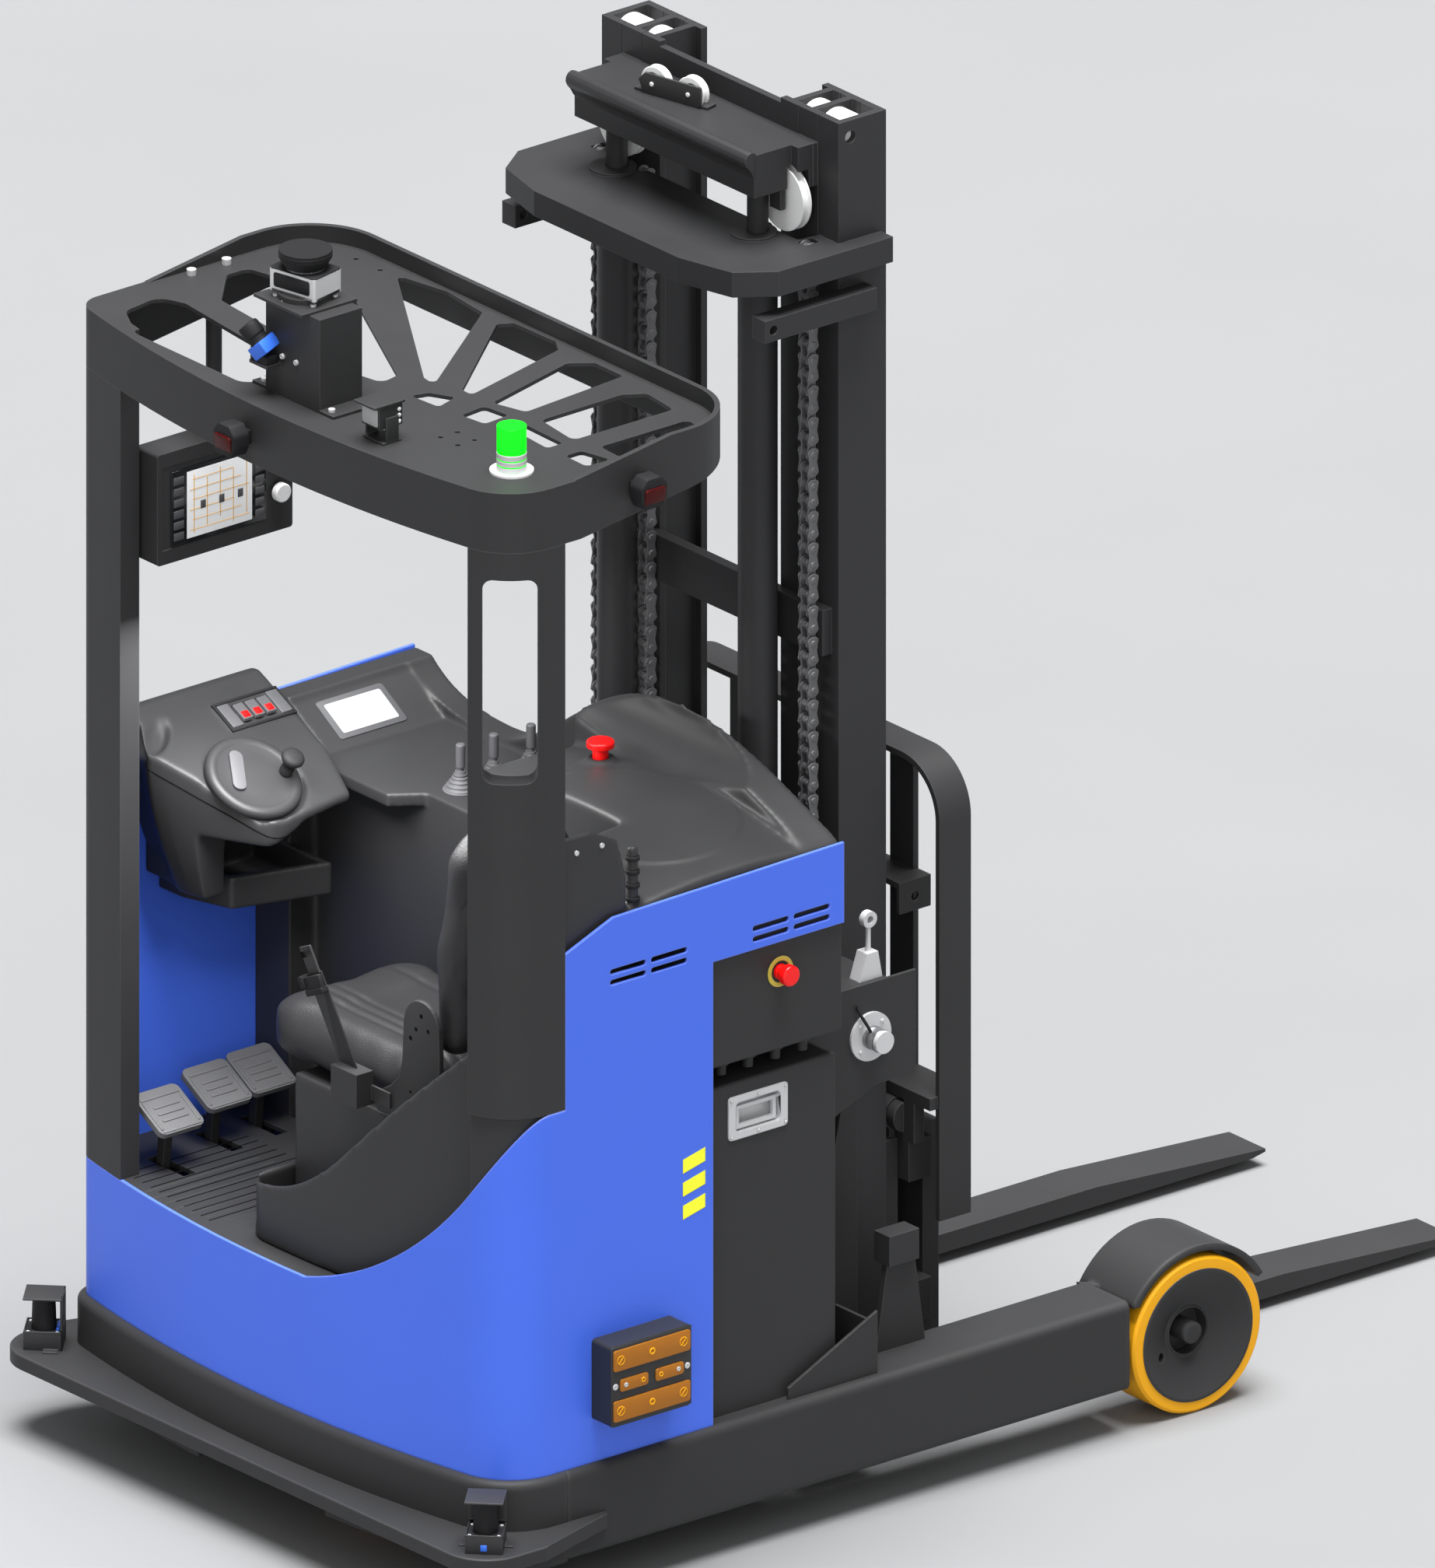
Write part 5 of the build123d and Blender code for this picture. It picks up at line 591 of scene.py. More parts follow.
def soft_piece(obj, node, body, sew):
    """Sews the channels into a padded form, keeps it in the room of its node, and puts it on its body as a leather
    pad in place of the node.
    """
    low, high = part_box(node)
    for vertex in obj.data.vertices:
        co = sew(Vector(vertex.co) / MM) * MM
        for k in range(3):
            co[k] = min(max(co[k], low[k] - PAD_ROOM), high[k] + PAD_ROOM)
        vertex.co = co
    for face in obj.data.polygons:
        face.use_smooth = True
    obj.data.materials.append(leather)
    fine = obj.modifiers.new("round", "SUBSURF")
    fine.levels = 1
    fine.render_levels = 1
    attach(obj, body)
    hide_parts(node)
    return obj


def crease(value, places, depth, width):
    """How deep a sewn line presses in at a value."""
    return sum(depth * math.exp(-(((value - place) / width) ** 2)) for place in places)


def cushion_form(bm):
    """The seat cushion before it is blown up: a pad with a raised front."""
    prism(bm, rounded(362, 474, 70), 846, 934, axes((SEAT_MIDDLE_X, -13, 0)), 22)
    prism(bm, rounded(300, 120, 50), 900, 938, axes((SEAT_MIDDLE_X, 150, 0)), 16)


def cushion_sewing(p):
    """Lines sewn from front to back, and a shallow hollow between them."""
    if p.z > 905:
        inside = min(1.0, max(0.0, (215.0 - p.y) / 60.0))
        p.z -= inside * crease(p.x, (-990.0, -962.0, -934.0), 4.5, 5.5)
        p.z -= inside * crease(p.x, (-800.0,), 4.0, 6.0)
        p.z -= 6.0 * math.exp(-(((p.x + 880) / 70.0) ** 2))
    p.z = max(p.z, 831.0)
    return p


cushion = inflated("cushion_pad", cushion_form, 4.0, 14.0)
soft_piece(cushion, "seat_cushion", "seat", cushion_sewing)


def back_form(bm):
    """The backrest before it is blown up."""
    outline = [(-1068, 980), (-718, 980), (-718, 1180), (-752, 1330), (-806, 1416), (-980, 1426), (-1040, 1370),
               (-1068, 1180)]
    prism(bm, outline, 268, 340, axes((0, 0, 0), TO_NEAR), 20)


def back_sewing(p):
    """Two upright lines with three across between them in front, and one round line behind."""
    aside = p.x - BACK_MIDDLE_X
    if p.y > -285:
        p.y -= crease(abs(aside), (95.0,), 6.0, 7.0)
        p.y -= crease(p.z, (1085.0, 1180.0, 1275.0), 5.0, 8.0) * (1.0 if abs(aside) < 95 else 0.0)
    if p.y < -328:
        p.y += crease(math.hypot(aside * 0.9, p.z - 1200), (150.0,), 3.0, 6.0)
    return p


backrest = inflated("backrest_pad", back_form, 4.0, 12.0)
soft_piece(backrest, "seat_back", "back", back_sewing)


# steering disc with its grip and knob, and the bellows of the levers

def tilted(origin, degrees):
    """A place on a panel that leans back towards the far side by an angle."""
    return axes(origin, (0, -math.sin(math.radians(degrees)), math.cos(math.radians(degrees))))


disc_place = tilted((-955, 387, 1286), DISC_TILT)
bm = bmesh.new()
turned(bm, [(0, 1), (88, 1), (93, 3), (95, 8), (94.5, 13), (91, 18), (85, 20.5), (79, 21), (75, 19), (72, 18),
            (45, 19), (20, 20), (0, 20)], disc_place, 64)
piece("disc_body", bm, plastic, "disc")
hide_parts("steering_disc")
bm = bmesh.new()
prism(bm, rounded(92, 26, 12.9, 8), 19, 24.5, disc_place @ slid(-30, 18, 0) @ spun(62), 2.4)
piece("disc_grip", bm, trim, "disc")

knob_place = disc_place @ slid(62, -14, 0)
bm = bmesh.new()
turned(bm, [(0, 21.2), (13, 21.2), (13, 34), (11.5, 36), (11, 48), (14, 52), (20, 55), (22, 59), (22, 64), (19.5, 68),
            (13, 70.5), (0, 71.5)], knob_place, 40)
knob = piece("knob_body", bm, rubber, "knob")
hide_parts("steering_knob")

BELLOWS_FOLDS, FOLD_HEIGHT, FOLD_STEP = 4, 7.0, 5.0
bm = bmesh.new()
for x, y in LEVER_PLACES:
    steps = [(0, DASH_TOP), (33, DASH_TOP), (33, 1261)]
    radius = 31.0
    for k in range(BELLOWS_FOLDS):
        base = 1261.5 + k * FOLD_HEIGHT
        steps += [(radius, base), (radius + 0.5, base + 2.2), (radius - 4.5, base + 5.2)]
        radius -= FOLD_STEP
    steps += [(11, 1290), (10, 1294), (0, 1294)]
    turned(bm, steps, axes((x, y, 0)), 36)
boots = piece("lever_bellows", bm, trim, "chassis", 60.0)
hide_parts("lever_boots")

# dashboard screen on the slope of the dash
screen_place = axes((-594, 512, 1292.7), (0, -0.5206, 0.8538))
bm = bmesh.new()
prism(bm, rounded(158, 92, 7), -3.0, 2.2, screen_place, 0.8)
piece("dash_screen_bezel", bm, trim, "chassis")
bm = bmesh.new()
prism(bm, rounded(132, 70, 4), 1.4, 3.0, screen_place, 0.4)
piece("dash_screen_glass", bm, lcd, "chassis")

# operator display with a plain chart on it

def panel(name, low_x, low_z, high_x, high_z, proud, mat):
    """A thin sheet that stands proud of the face of the operator display."""
    face = DISPLAY_FACE - proud
    bm = bmesh.new()
    block(bm, (low_x, face, low_z), (high_x, face + 0.8, high_z), FLAT, 0.15)
    return piece(name, bm, mat, "chassis")


def tile(bm, low_x, low_z, high_x, high_z, front, bevel):
    """Adds a small raised sheet, 1 mm thick, on the display."""
    block(bm, (low_x, front, low_z), (high_x, front + 1.0, high_z), FLAT, bevel)


panel("display_glass", -1110, 1775, -886, 1924, 1.2, glass)
panel("display_chart", -1074, 1784, -920, 1916, 1.7, lit)
bm = bmesh.new()
for k in range(5):
    tile(bm, -1058 + 31 * k, 1792 + 9 * (k % 3), -1056.6 + 31 * k, 1908 - 12 * (k % 2), 427.6, 0.1)
for k in range(6):
    tile(bm, -1068 + 8 * (k % 2), 1798 + 20 * k, -928 - 18 * (k % 3), 1799.2 + 20 * k, 427.6, 0.1)
piece("display_lines", bm, orange_line, "chassis")
bm = bmesh.new()
for k in range(6):
    tile(bm, -1105, 1786 + 22 * k, -1081, 1801 + 22 * k, 428.0, 0.2)
    tile(bm, -912, 1786 + 22 * k, -891, 1800 + 22 * k, 428.0, 0.2)
for k in range(3):
    tile(bm, -1042 + 44 * k, 1836, -1030 + 44 * k, 1852, 427.4, 0.2)
piece("display_tiles", bm, trim, "chassis")

# emergency stop ring and stripes on the near side
bm = bmesh.new()
ring(bm, 21, 30, 0.2, 2.4, axes(SIDE_STOP, TO_NEAR), 48)
piece("estop_ring", bm, ring_yellow, "chassis")
bm = bmesh.new()
STRIPE_LEFT, STRIPE_RIGHT, STRIPE_LOW, STRIPE_PITCH = -759, -706, 686, 45.6
for k in range(3):
    z = STRIPE_LOW + STRIPE_PITCH * k
    stripe = [(STRIPE_LEFT, z), (STRIPE_RIGHT, z + 12.5), (STRIPE_RIGHT, z + 40), (STRIPE_LEFT, z + 27.5)]
    prism(bm, stripe, SHELL_SIDE + 0.05, SHELL_SIDE + 0.5, axes((0, 0, 0), TO_NEAR))
piece("side_stripes", bm, yellow, "chassis")


def screw(bm, place, radius, height):
    """Adds a screw head with a raised rim round a sunk socket."""
    turned(bm, [(0, 0), (radius, 0), (radius, height * 0.6), (radius * 0.85, height), (radius * 0.45, height),
                (radius * 0.38, height * 0.5), (0, height * 0.5)], place, 20)


# charging contacts: two wide plates and two small ones between them, with their screws

def contact(dx, dz, face=PLATE_FACE):
    """A place on the charging contacts that faces the near side."""
    return axes((CONTACT_X + dx, -face, CONTACT_Z + dz), TO_NEAR)


bm = bmesh.new()
block(bm, (CONTACT_X - 95, -CONTACT_FACE, CONTACT_Z - 78), (CONTACT_X + 95, 2.5 - CONTACT_FACE, CONTACT_Z + 78),
      FLAT, 0.6)
piece("contact_face", bm, plastic, "chassis")
bm = bmesh.new()
for dx, dz, wide, tall in ((0, 51, 181, 41), (0, -49, 181, 41), (-42, 0, 66, 24), (42, 0, 66, 24)):
    prism(bm, rounded(wide, tall, 5), -3.5, 0.0, contact(dx, dz), 0.8)
piece("contact_plates", bm, copper, "chassis")
bm = bmesh.new()
for dx, dz, radius in ((0, 51, 7.0), (0, -49, 7.0), (-21, 0, 5.0), (21, 0, 5.0)):
    ring(bm, radius * 0.5, radius, -0.5, 1.4, contact(dx, dz), 20, 0.4)
for dx, dz in ((-74, 51), (74, 51), (-74, -49), (74, -49)):
    ring(bm, 7.6, 9.4, -0.5, 1.0, contact(dx, dz), 24, 0.4)
    prism(bm, rounded(17, 2.6, 1.2), 0.0, 1.2, contact(dx, dz) @ spun(50), 0.3)
piece("contact_slots", bm, tyre, "chassis")
bm = bmesh.new()
for dx in (-62, 62):
    screw(bm, contact(dx, 0), 4.6, 1.6)
for dx in (-85, 85):
    screw(bm, contact(dx, 0, CONTACT_FACE), 6.2, 1.8)
piece("contact_screws", bm, silver, "chassis")


# lift chains of alternating leaf links

LINK_PITCH, LINK_HALF_WIDTH, LINK_END, LINK_WAIST = 31.0, 13.8, 13.0, 0.62
LINK_HALF_THICKNESS, LINK_INSIDE, LINK_OUTSIDE = 1.6, 9.5, 14.0
LINK_CORNERS = 16


def link_outline(step):
    """The outline of a link plate: a round end at each pin and a narrow waist between them."""
    outline = []
    for j in range(LINK_CORNERS):
        a = 2.0 * math.pi * j / LINK_CORNERS
        tall = math.sin(a)
        lobe = math.copysign(step / 2, tall) if abs(tall) > 1e-6 else 0.0
        waist = LINK_WAIST if abs(tall) < 0.2 else 1.0
        outline.append((LINK_HALF_WIDTH * math.cos(a) * waist, lobe + LINK_END * tall))
    return outline


def chain(name, y):
    """A chain strand: pairs of link plates in turn inside and outside, with a pin at every joint."""
    bm = bmesh.new()
    count = int((CHAIN_HIGH - CHAIN_LOW) / LINK_PITCH)
    step = (CHAIN_HIGH - CHAIN_LOW) / count
    for k in range(count):
        middle = CHAIN_LOW + step * (k + 0.5)
        across = LINK_OUTSIDE if k % 2 else LINK_INSIDE
        for side in (-1, 1):
            place = axes((CHAIN_X, y + side * across, middle), (0, side, 0))
            prism(bm, link_outline(step), -LINK_HALF_THICKNESS, LINK_HALF_THICKNESS, place)
    for k in range(count + 1):
        joint = axes((CHAIN_X, y, CHAIN_LOW + step * k), TO_FAR)
        turned(bm, [(0, -17.5), (5.0, -17.5), (5.5, -16.8), (5.5, 16.8), (5.0, 17.5), (0, 17.5)], joint, 10)
        turned(bm, [(0, -7.6), (9.0, -7.6), (9.0, 7.6), (0, 7.6)], joint, 12)
    obj = piece(name, bm, links_metal, "reach", 30.0)
    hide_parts("lift_chains")


chain("chain_near", -301.5)
chain("chain_far", 301.5)
chain("chain_inner_near", -170.5)
chain("chain_inner_far", 170.5)

# floor grooves, drawn as thin strips of painted shadow
GROOVES, GROOVE_FIRST, GROOVE_PITCH, GROOVE_WIDTH = 11, 212.0, 27.5, 3.4
bm = bmesh.new()
for k in range(GROOVES):
    y = GROOVE_FIRST + GROOVE_PITCH * k
    block(bm, (-1196 + 2.6 * k, y, 531.6), (-880 if k > 3 else -985, y + GROOVE_WIDTH, 532.35), FLAT, 0.1)
piece("floor_grooves", bm, shadow, "chassis")


# moulded covers: the CAD form with its edges melted round

def moulded(node, voxel, melt, shape=None, mat=plastic):
    """A moulded cover in place of a node: the same form with soft edges, and a few places pressed in by shape."""
    source = frame["nodes"][node]
    low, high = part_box(node)
    mesh = source.data.copy()
    obj = bpy.data.objects.new(node + "_moulded", mesh)
    to_scene(obj)
    weld = obj.modifiers.new("weld", "WELD")
    weld.merge_threshold = 0.00002
    voxels = obj.modifiers.new("voxels", "REMESH")
    voxels.mode = "VOXEL"
    voxels.voxel_size = voxel * MM
    even = obj.modifiers.new("even", "SMOOTH")
    even.factor = 0.5
    even.iterations = melt
    graph = bpy.context.evaluated_depsgraph_get()
    soft = bpy.data.meshes.new_from_object(obj.evaluated_get(graph))
    obj.modifiers.clear()
    obj.data = soft
    for vertex in soft.vertices:
        co = Vector(vertex.co)
        if shape:
            co = shape(co / MM) * MM
        for k in range(3):
            co[k] = min(max(co[k], low[k]), high[k])
        vertex.co = co
    for face in soft.polygons:
        face.use_smooth = True
    soft.materials.clear()
    soft.materials.append(mat)
    body = body_of(node)
    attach(obj, body)
    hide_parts(node)
    return obj


CONSOLE_MIDDLE_X, BOWL_BACK_Y = -930.0, 470.0
RIM_DEPTH, SEAM_DEPTH, RECESS_ABOVE = 34.0, 33.0, 30.0
RECESS_X, RECESS_Y, RECESS_LENGTH, RECESS_WIDTH, RECESS_DEPTH = -1066.0, 527.0, 44.0, 19.0, 15.0


def rim_height(y):
    """Height of the sloping top of the steering console at a distance aside."""
    return 1247.0 + (y - 295.0) * math.tan(math.radians(CONSOLE_TILT))


def bowl(p):
    """The steering console narrows to a bowl below its rim, and has a hand recess at its far corner."""
    rim = rim_height(p.y)
    if p.z < rim - RIM_DEPTH:
        drop = min(1.0, (rim - RIM_DEPTH - p.z) / 260.0)
        p.x = CONSOLE_MIDDLE_X + (p.x - CONSOLE_MIDDLE_X) * (1.0 - 0.42 * drop ** 1.6)
        if p.y < BOWL_BACK_Y:
            p.y = BOWL_BACK_Y + (p.y - BOWL_BACK_Y) * (1.0 - 0.5 * drop ** 1.4)
    x, y = p.x - RECESS_X, p.y - RECESS_Y
    u = (x * 0.8 + y * 0.6) / RECESS_LENGTH
    v = (-x * 0.6 + y * 0.8) / RECESS_WIDTH
    if p.z > rim - RECESS_ABOVE:
        p.z -= RECESS_DEPTH * math.exp(-((u * u + v * v) ** 2))
    return p


def hood_lines(p):
    """A shallow step round the raised middle of the hood."""
    step_height, hood_base = 2.5, 1240.0
    around = math.hypot((p.x + 650.0) / 190.0, (p.y + 340.0) / 215.0)
    if p.z > hood_base:
        p.z += step_height if around < 1.0 else step_height * math.exp(-(((around - 1.0) / 0.02) ** 2))
    return p


console = moulded("steering_console", 4.0, 22, bowl)
moulded("battery_hood", 6.0, 8, hood_lines)
moulded("seat_pod", 5.0, 6)
moulded("dash_console", 4.0, 5)

# seam between the rim and the bowl of the steering console
SEAM_POINTS, SEAM_START, SEAM_TURN, SEAM_REACH = 34, 160.0, 4.4, 420.0
rim_tree = tree_of(console.data)
seam = []
for k in range(SEAM_POINTS):
    inward = -Vector((*on_circle(1.0, SEAM_START + SEAM_TURN * k), 0.0))
    y, spot = 420.0, None
    # the seam follows the slope, so its height is found again from where the ray lands
    for step in range(4):
        start = Vector((CONSOLE_MIDDLE_X, 450.0, rim_height(y) - SEAM_DEPTH)) - inward * SEAM_REACH
        spot = landing(rim_tree, start, inward)
        if spot is None:
            break
        y = spot.y
    if spot is not None:
        seam.append(tuple(spot))
wire("console_seam", seam, 1.3, shadow, "chassis")

# switch panel: dark border, two blanks and the red marks on the rockers
ROCKER_PITCH = 28.0
bm = bmesh.new()
switch = tilted((-842, 520, 1356), CONSOLE_TILT)
for low_x, high_x in ((-70, -45), (45, 70)):
    block(bm, (low_x, -28, 2), (high_x, 28, 7.5), switch, 1.4)
piece("switch_blanks", bm, trim, "chassis")
bm = bmesh.new()
for low_corner, high_corner in (((-76, -36, 0), (76, -31, 6.0)), ((-76, 31, 0), (76, 36, 6.0)),
                                ((-76, -31, 0), (-72, 31, 6.0)), ((72, -31, 0), (76, 31, 6.0))):
    block(bm, low_corner, high_corner, switch, 1.0)
piece("switch_frame", bm, rubber, "chassis")
for number in (1, 2, 3):
    bm = bmesh.new()
    prism(bm, rounded(15, 15, 1.5), 8.0, 10.2, switch @ slid((number - 2) * ROCKER_PITCH, -9.0, 0), 0.6)
    piece(f"rocker_mark_{number}", bm, red, f"rocker{number}")

# seat hinge plate with a round head, its holes, and the belt buckle
HEAD_Y, HEAD_Z, HEAD_RADIUS = -277, 1042, 51
bm = bmesh.new()
hinge_outline = [(-150, 838), (-141, 846), (-141, 872), (-160, 884), (-190, 900), (-213, 925), (-224, 960),
                 (-226, 1030)]
for k in range(16):
    y, z = on_circle(HEAD_RADIUS, 12 * k)
    hinge_outline.append((HEAD_Y + y, HEAD_Z + z))
hinge_outline += [(-330, 1000), (-330, 880), (-321, 852), (-300, 838)]
upright = axes((0, 0, 0), TO_FRONT, TO_FAR)
prism(bm, hinge_outline, HINGE_OUTER, HINGE_INNER, upright, 2.2)
piece("hinge_plate", bm, dark, "chassis")
# the holes are thin discs of painted shadow on the plate
bm = bmesh.new()
for y, z, radius in ((-277, 1064, 4.5), (-297, 1040, 4.0), (-262, 1034, 4.0), (-246, 1012, 4.5), (-287, 868, 7.0),
                     (-246, 905, 3.0)):
    inner, outer = HINGE_OUTER + 0.4, HINGE_OUTER - 0.3
    turned(bm, [(0, inner), (radius, inner), (radius, outer), (0, outer)], upright @ slid(y, z, 0), 18)
piece("hinge_holes", bm, shadow, "chassis")
bm = bmesh.new()
belt = axes((-1119, -90, 905), (-0.10, 0.42, 0.90), (0, 1, 0))
block(bm, (-27, -8, 150), (27, 8, 162), belt, 2.0)
block(bm, (-27, -5, 160), (27, 5, 186), belt, 2.0)
block(bm, (22, -10, 166), (33, 10, 190), belt, 2.5)
piece("belt_buckle", bm, rubber, "chassis")
# the tongue slot is a small block of painted shadow
bm = bmesh.new()
block(bm, (-6, -2.6, 222), (6, 2.6, 234), belt, 0.8)
piece("belt_tongue_slot", bm, shadow, "chassis")

# safety scanners at the corners: box with its rim and lugs, head, hood plate on its bracket, screws and label
bodies_bm, heads_bm, screws_bm, marks_bm = bmesh.new(), bmesh.new(), bmesh.new(), bmesh.new()
for side in (-1, 1):
    inward = (0.7071, -side * 0.7071, 0)
    spot = axes((SCANNER_X, side * SCANNER_Y, 0), UP, inward)
    block(bodies_bm, (-35, -35, 164), (35, 35, 197), spot, 1.5)
    for low_corner, high_corner in (((-35, -35, 196), (-32, 35, 201)), ((-35, -35, 196), (35, -32, 201)),
                                    ((-35, 32, 196), (35, 35, 201))):
        block(bodies_bm, low_corner, high_corner, spot, 0.8)
    block(bodies_bm, (33, -35, 164), (37, -14, 266), spot, 1.0)
    block(bodies_bm, (33, 14, 164), (37, 35, 266), spot, 1.0)
    block(bodies_bm, (33, -35, 164), (37, 35, 206), spot, 1.0)
    block(bodies_bm, (-36, -36, 262), (37, 36, 266), spot, 1.4)
    for low_y, high_y in ((-50, -30), (30, 50)):
        block(bodies_bm, (2, low_y, 164), (30, high_y, 167), spot, 0.8)
    turned(heads_bm, [(0, 190), (23.5, 190), (22.5, 222), (21.5, 250), (24, 256), (24, 262.5), (0, 262.5)], spot, 40)
    for x, y in ((-27, -27), (-27, 27), (27, -27), (27, 27)):
        turned(screws_bm, [(0, 196), (3.6, 196), (3.6, 198.6), (2.4, 199.6), (0, 199.6)], spot @ slid(x, y, 0), 14)
    block(marks_bm, (24, -20, 197), (31, 20, 203), spot, 0.8)
    block(marks_bm, (-36.5, -6, 170), (-34, 6, 182), spot, 0.6)
look = piece("scanner_boxes", bodies_bm, dark, "chassis")
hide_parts("safety_scanners")
piece("scanner_heads", heads_bm, rubber, "chassis")
piece("scanner_screws", screws_bm, white, "chassis")
piece("scanner_marks", marks_bm, scanner_blue, "chassis")

# pedal treads: a raised border and three bars, dropped onto each tilted pad
TREAD_BARS = ((-45, 37, 45, 42), (-45, -42, 45, -37), (-46, -34, -41, 34), (41, -34, 46, 34),
              (-30, 14, 30, 19), (-30, -2, 30, 3), (-30, -18, 30, -13))
for number, (x, y) in enumerate(PEDAL_PLACES, 1):
    spot = landing(tree_of(frame["nodes"][f"pedal_{number}"].data), (x, y, 760), (0, 0, -1))
    if spot is not None:
        pad = axes(spot, (0, -0.5, 0.866))
        bm = bmesh.new()
        for low_x, low_y, high_x, high_y in TREAD_BARS:
            block(bm, (low_x, low_y, -1), (high_x, high_y, 2.0), pad, 0.9)
        piece(f"pedal_tread_{number}", bm, pedal_grey, f"pedal{number}")

# ringed silver stack of the warning lamp
bm = bmesh.new()
turned(bm, [(27.0, 2220), (28.3, 2221), (28.3, 2229), (27.4, 2230), (27.4, 2232), (28.3, 2233), (28.3, 2241),
            (27.4, 2242), (27.4, 2244), (28.3, 2245), (28.3, 2254), (27.0, 2255)], axes((*WARNING_LAMP, 0)), 48)
piece("warning_lamp_stack", bm, silver, "chassis")

# marker lamps with slanted hoods, in the room of their CAD blocks
MARKER_HOOD = [(-31, -12), (-22, -30), (22, -30), (31, -12), (31, 14), (16, 31), (-16, 31), (-31, 14)]
for name, place in (("rear_marker", axes((-1237, 59, 2150), TO_REAR, TO_NEAR)),
                    ("side_marker", axes((-867, -628, 2169), TO_NEAR))):
    bm = bmesh.new()
    block(bm, (-19, -14, 0), (19, 14, 16), place, 2.0)
    prism(bm, MARKER_HOOD, 14, 52, place, 5.0)
    piece(name, bm, rubber, "chassis")
    bm = bmesh.new()
    prism(bm, rounded(48, 34, 6), -2.5, 1.6, place @ slid(0, -6, 52.2) @ spun(8, "X"), 1.4)
    piece(name + "_lens", bm, lens, "chassis")

# camera under its visor
camera_place = axes((*CAMERA_SPOT, GUARD_TOP))
bm = bmesh.new()
block(bm, (-28, -26, 30), (28, 26, 74), camera_place, 3.0)
prism(bm, [(-43, -30), (31, -30), (31, 30), (-43, 30)], 74, 79.5, camera_place, 2.0)
block(bm, (-15, -30.5, 0), (15, -27, 52), camera_place, 1.2)
block(bm, (-15, 27, 0), (15, 30.5, 52), camera_place, 1.2)
block(bm, (-22, -30, 0.1), (22, 30, 4), camera_place, 1.0)
piece("camera_body", bm, dark, "chassis")
bm = bmesh.new()
prism(bm, rounded(44, 34, 3), 28.0, 29.4, axes((*CAMERA_SPOT, GUARD_TOP + 52), TO_REAR, TO_NEAR), 0.5)
piece("camera_window", bm, lcd, "chassis")
bm = bmesh.new()
for k in range(3):
    spot = axes((-1138, -242, 2253 + 12 * k), TO_NEAR)
    turned(bm, [(0, 25.8), (4.2, 25.8), (4.2, 27.4), (3.2, 28.2), (0, 28.4)], spot, 16)
piece("camera_lamps", bm, white, "chassis")

# laser scanner on the mast tower: label window, dark edges and seat bolts
tower = axes((*LASER_SPOT, 0), UP, (*on_circle(1.0, 12), 0))
bm = bmesh.new()
prism(bm, rounded(84, 28, 4), 40.2, 41.2, tower @ slid(0, 0, 2442) @ axes((0, 0, 0), TO_REAR, TO_NEAR), 0.4)
prism(bm, rounded(80, 108, 6), 2461.0, 2463.6, tower, 1.0)
prism(bm, rounded(80, 108, 6), 2417.6, 2423.0, tower, 1.0)
ring(bm, 30, 50.2, 2489, 2496, tower, 56, 2.0)
piece("laser_trim", bm, rubber, "chassis")
bm = bmesh.new()
for x, y in ((-32, -44), (-32, 44), (32, -44), (32, 44), (-44, -12), (-44, 14)):
    turned(bm, [(0, 2405.8), (6, 2405.8), (6, 2409), (5, 2411), (2.6, 2411), (2.6, 2409), (0, 2409)],
           tower @ slid(x, y, 0), 18)
for y in (-10, 30):
    spot = axes((-1170, y, 2296), TO_REAR)
    turned(bm, [(0, 0), (5.5, 0), (5.5, 4), (4.6, 5.4), (2.4, 5.4), (2.4, 3), (0, 3)], spot, 18)
piece("tower_bolts", bm, silver, "chassis")

# tilted scanner: blue block, and dark head with its holder
tilt = axes((-1190, 62, 2311), (-0.3, 0.6, 0.74))
bm = bmesh.new()
block(bm, (-21, -21, -14), (21, 21, 12), tilt, 2.5)
piece("tilted_scanner_block", bm, scanner_blue, "chassis")
bm = bmesh.new()
turned(bm, [(0, 11), (20.5, 11), (20.5, 14), (18.5, 15), (18.5, 24), (20.6, 26), (20.8, 46), (18.5, 51), (8, 52),
            (0, 52)], tilt, 44)
block(bm, (-1203, 38, 2281), (-1177, 86, 2298), FLAT, 2.0)
block(bm, (-1178, 55, 2270), (-1170, 69, 2300), FLAT, 1.0)
piece("tilted_scanner_head", bm, rubber, "chassis")

# pulleys for the hoses behind their cover plate on the mast head
bm = bmesh.new()
cover = axes((-226, 50, 2560), UP, (*on_circle(1.0, 13), 0))
for aside in (-42, 42):
    hub = cover @ slid(0, aside, 22) @ axes((0, 0, 0), TO_REAR, TO_FAR)
    turned(bm, [(0, -9), (31, -9), (32, -7.5), (30, -5), (26, -3), (26, 3), (30, 5), (32, 7.5), (31, 9), (0, 9)],
           hub, 40)
    turned(bm, [(0, 0), (4.5, 0), (4.5, 17.5), (3.5, 18.4), (0, 18.4)], hub, 16)
piece("hose_pulleys", bm, white, "middle")
bm = bmesh.new()
plate = cover @ axes((0, 0, 22), TO_REAR, TO_FAR)
prism(bm, [(-72, -20), (58, -20), (74, -4), (60, 26), (-60, 26), (-72, 14)], 12, 16, plate, 1.4)
piece("pulley_cover", bm, dark, "middle")

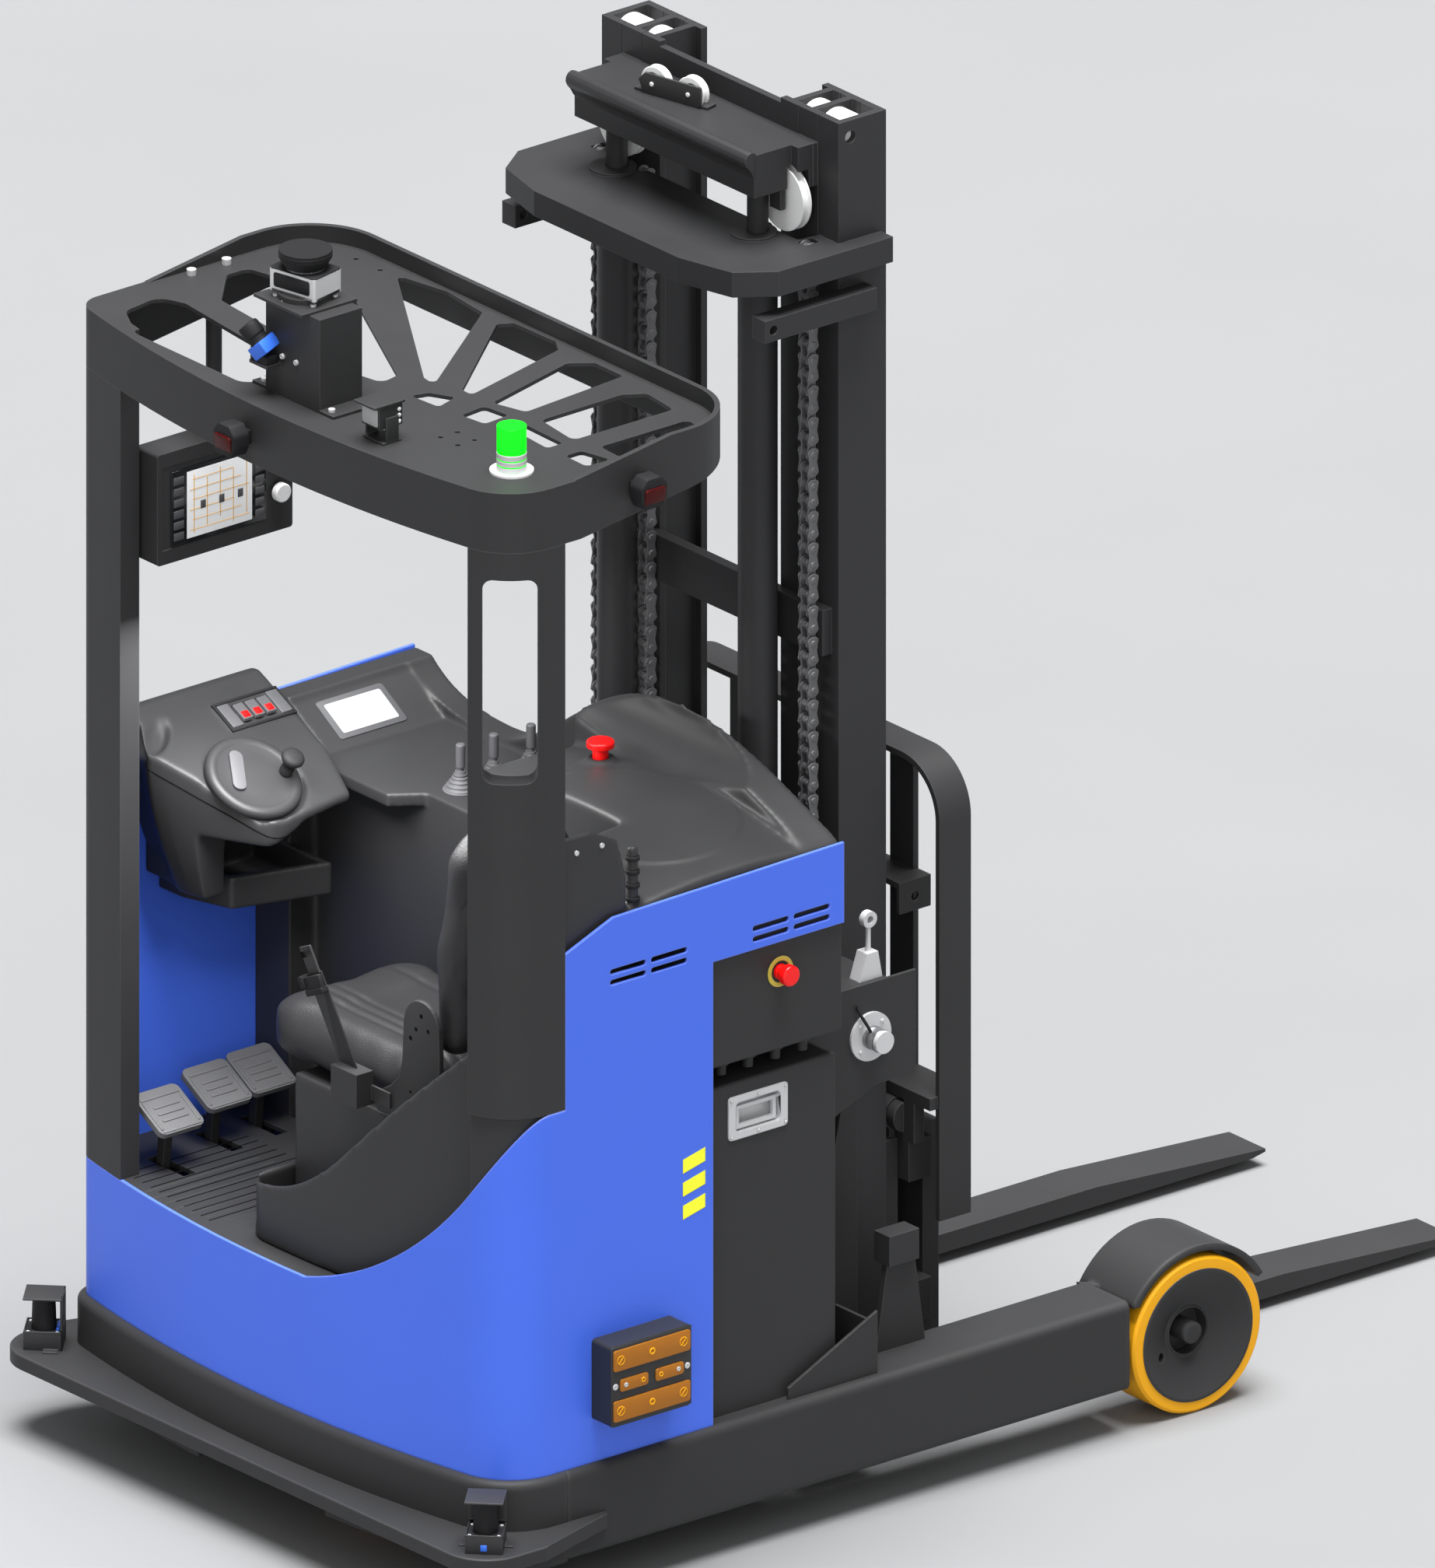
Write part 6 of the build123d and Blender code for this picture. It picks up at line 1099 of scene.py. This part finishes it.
# rolled lip along the front of the top tie
bm = bmesh.new()
lip = [(-288, 2512), (-288, 2562), (-292, 2566), (-300, 2568), (-308, 2565), (-313, 2558), (-314, 2549), (-310, 2540),
       (-300, 2531), (-294, 2520), (-292, 2512)]
prism(bm, [(x, -z) for x, z in lip][::-1], -262, 262, axes((0, 0, 0), TO_FAR), 1.5)
piece("tie_lip", bm, steel_dark, "middle")

# handle rivets, and the screws, rings and lead of the encoder
bm = bmesh.new()
for dx in (-64, 0, 64):
    for dz in (-36, 36):
        spot = axes((HANDLE_X + dx, -BATTERY_SIDE - 4.0, HANDLE_Z + dz), TO_NEAR)
        turned(bm, [(0, 0), (3.4, 0), (3.0, 1.2), (1.8, 2.0), (0, 2.2)], spot, 14)
for k in range(4):
    dx, dz = on_circle(36, 45 + 90 * k)
    spot = axes((ENCODER_X + dx, -509, ENCODER_Z + dz), TO_NEAR)
    turned(bm, [(0, 0), (4, 0), (4, 2), (3, 3), (0, 3)], spot, 14)
piece("small_screws", bm, silver, "chassis")
bm = bmesh.new()
turned(bm, [(21.8, 0), (22.6, 1), (22.6, 9), (21.8, 10), (21.8, 26), (22.3, 27), (22.3, 29), (21.8, 30)],
       axes((ENCODER_X, -510, ENCODER_Z), TO_NEAR), 40)
piece("encoder_rings", bm, steel, "chassis")
wire("encoder_lead", [(-228, -524, 888), (-236, -520, 905), (-243, -512, 922), (-247, -505, 938)],
     3.0, rubber, "chassis")

# ribs on the grab handle
bm = bmesh.new()
for k in range(4):
    ring(bm, 9, 13.5, 1334 + 27 * k, 1343 + 27 * k, axes((-855, -600, 0)), 24, 1.5)
piece("grab_ribs", bm, rubber, "chassis")

# studio floor
bpy.ops.mesh.primitive_plane_add(size=60.0, location=(0.0, 0.0, cad_box[0][2] - 0.0005))
floor = bpy.context.object
floor.name = "studio_floor"
ground = finish("floor_paint", (0.215, 0.218, 0.222), 0.7, vary=0.03, patch=1.0, bump=0.02, round_edge=0.0)
floor.data.materials.append(ground)
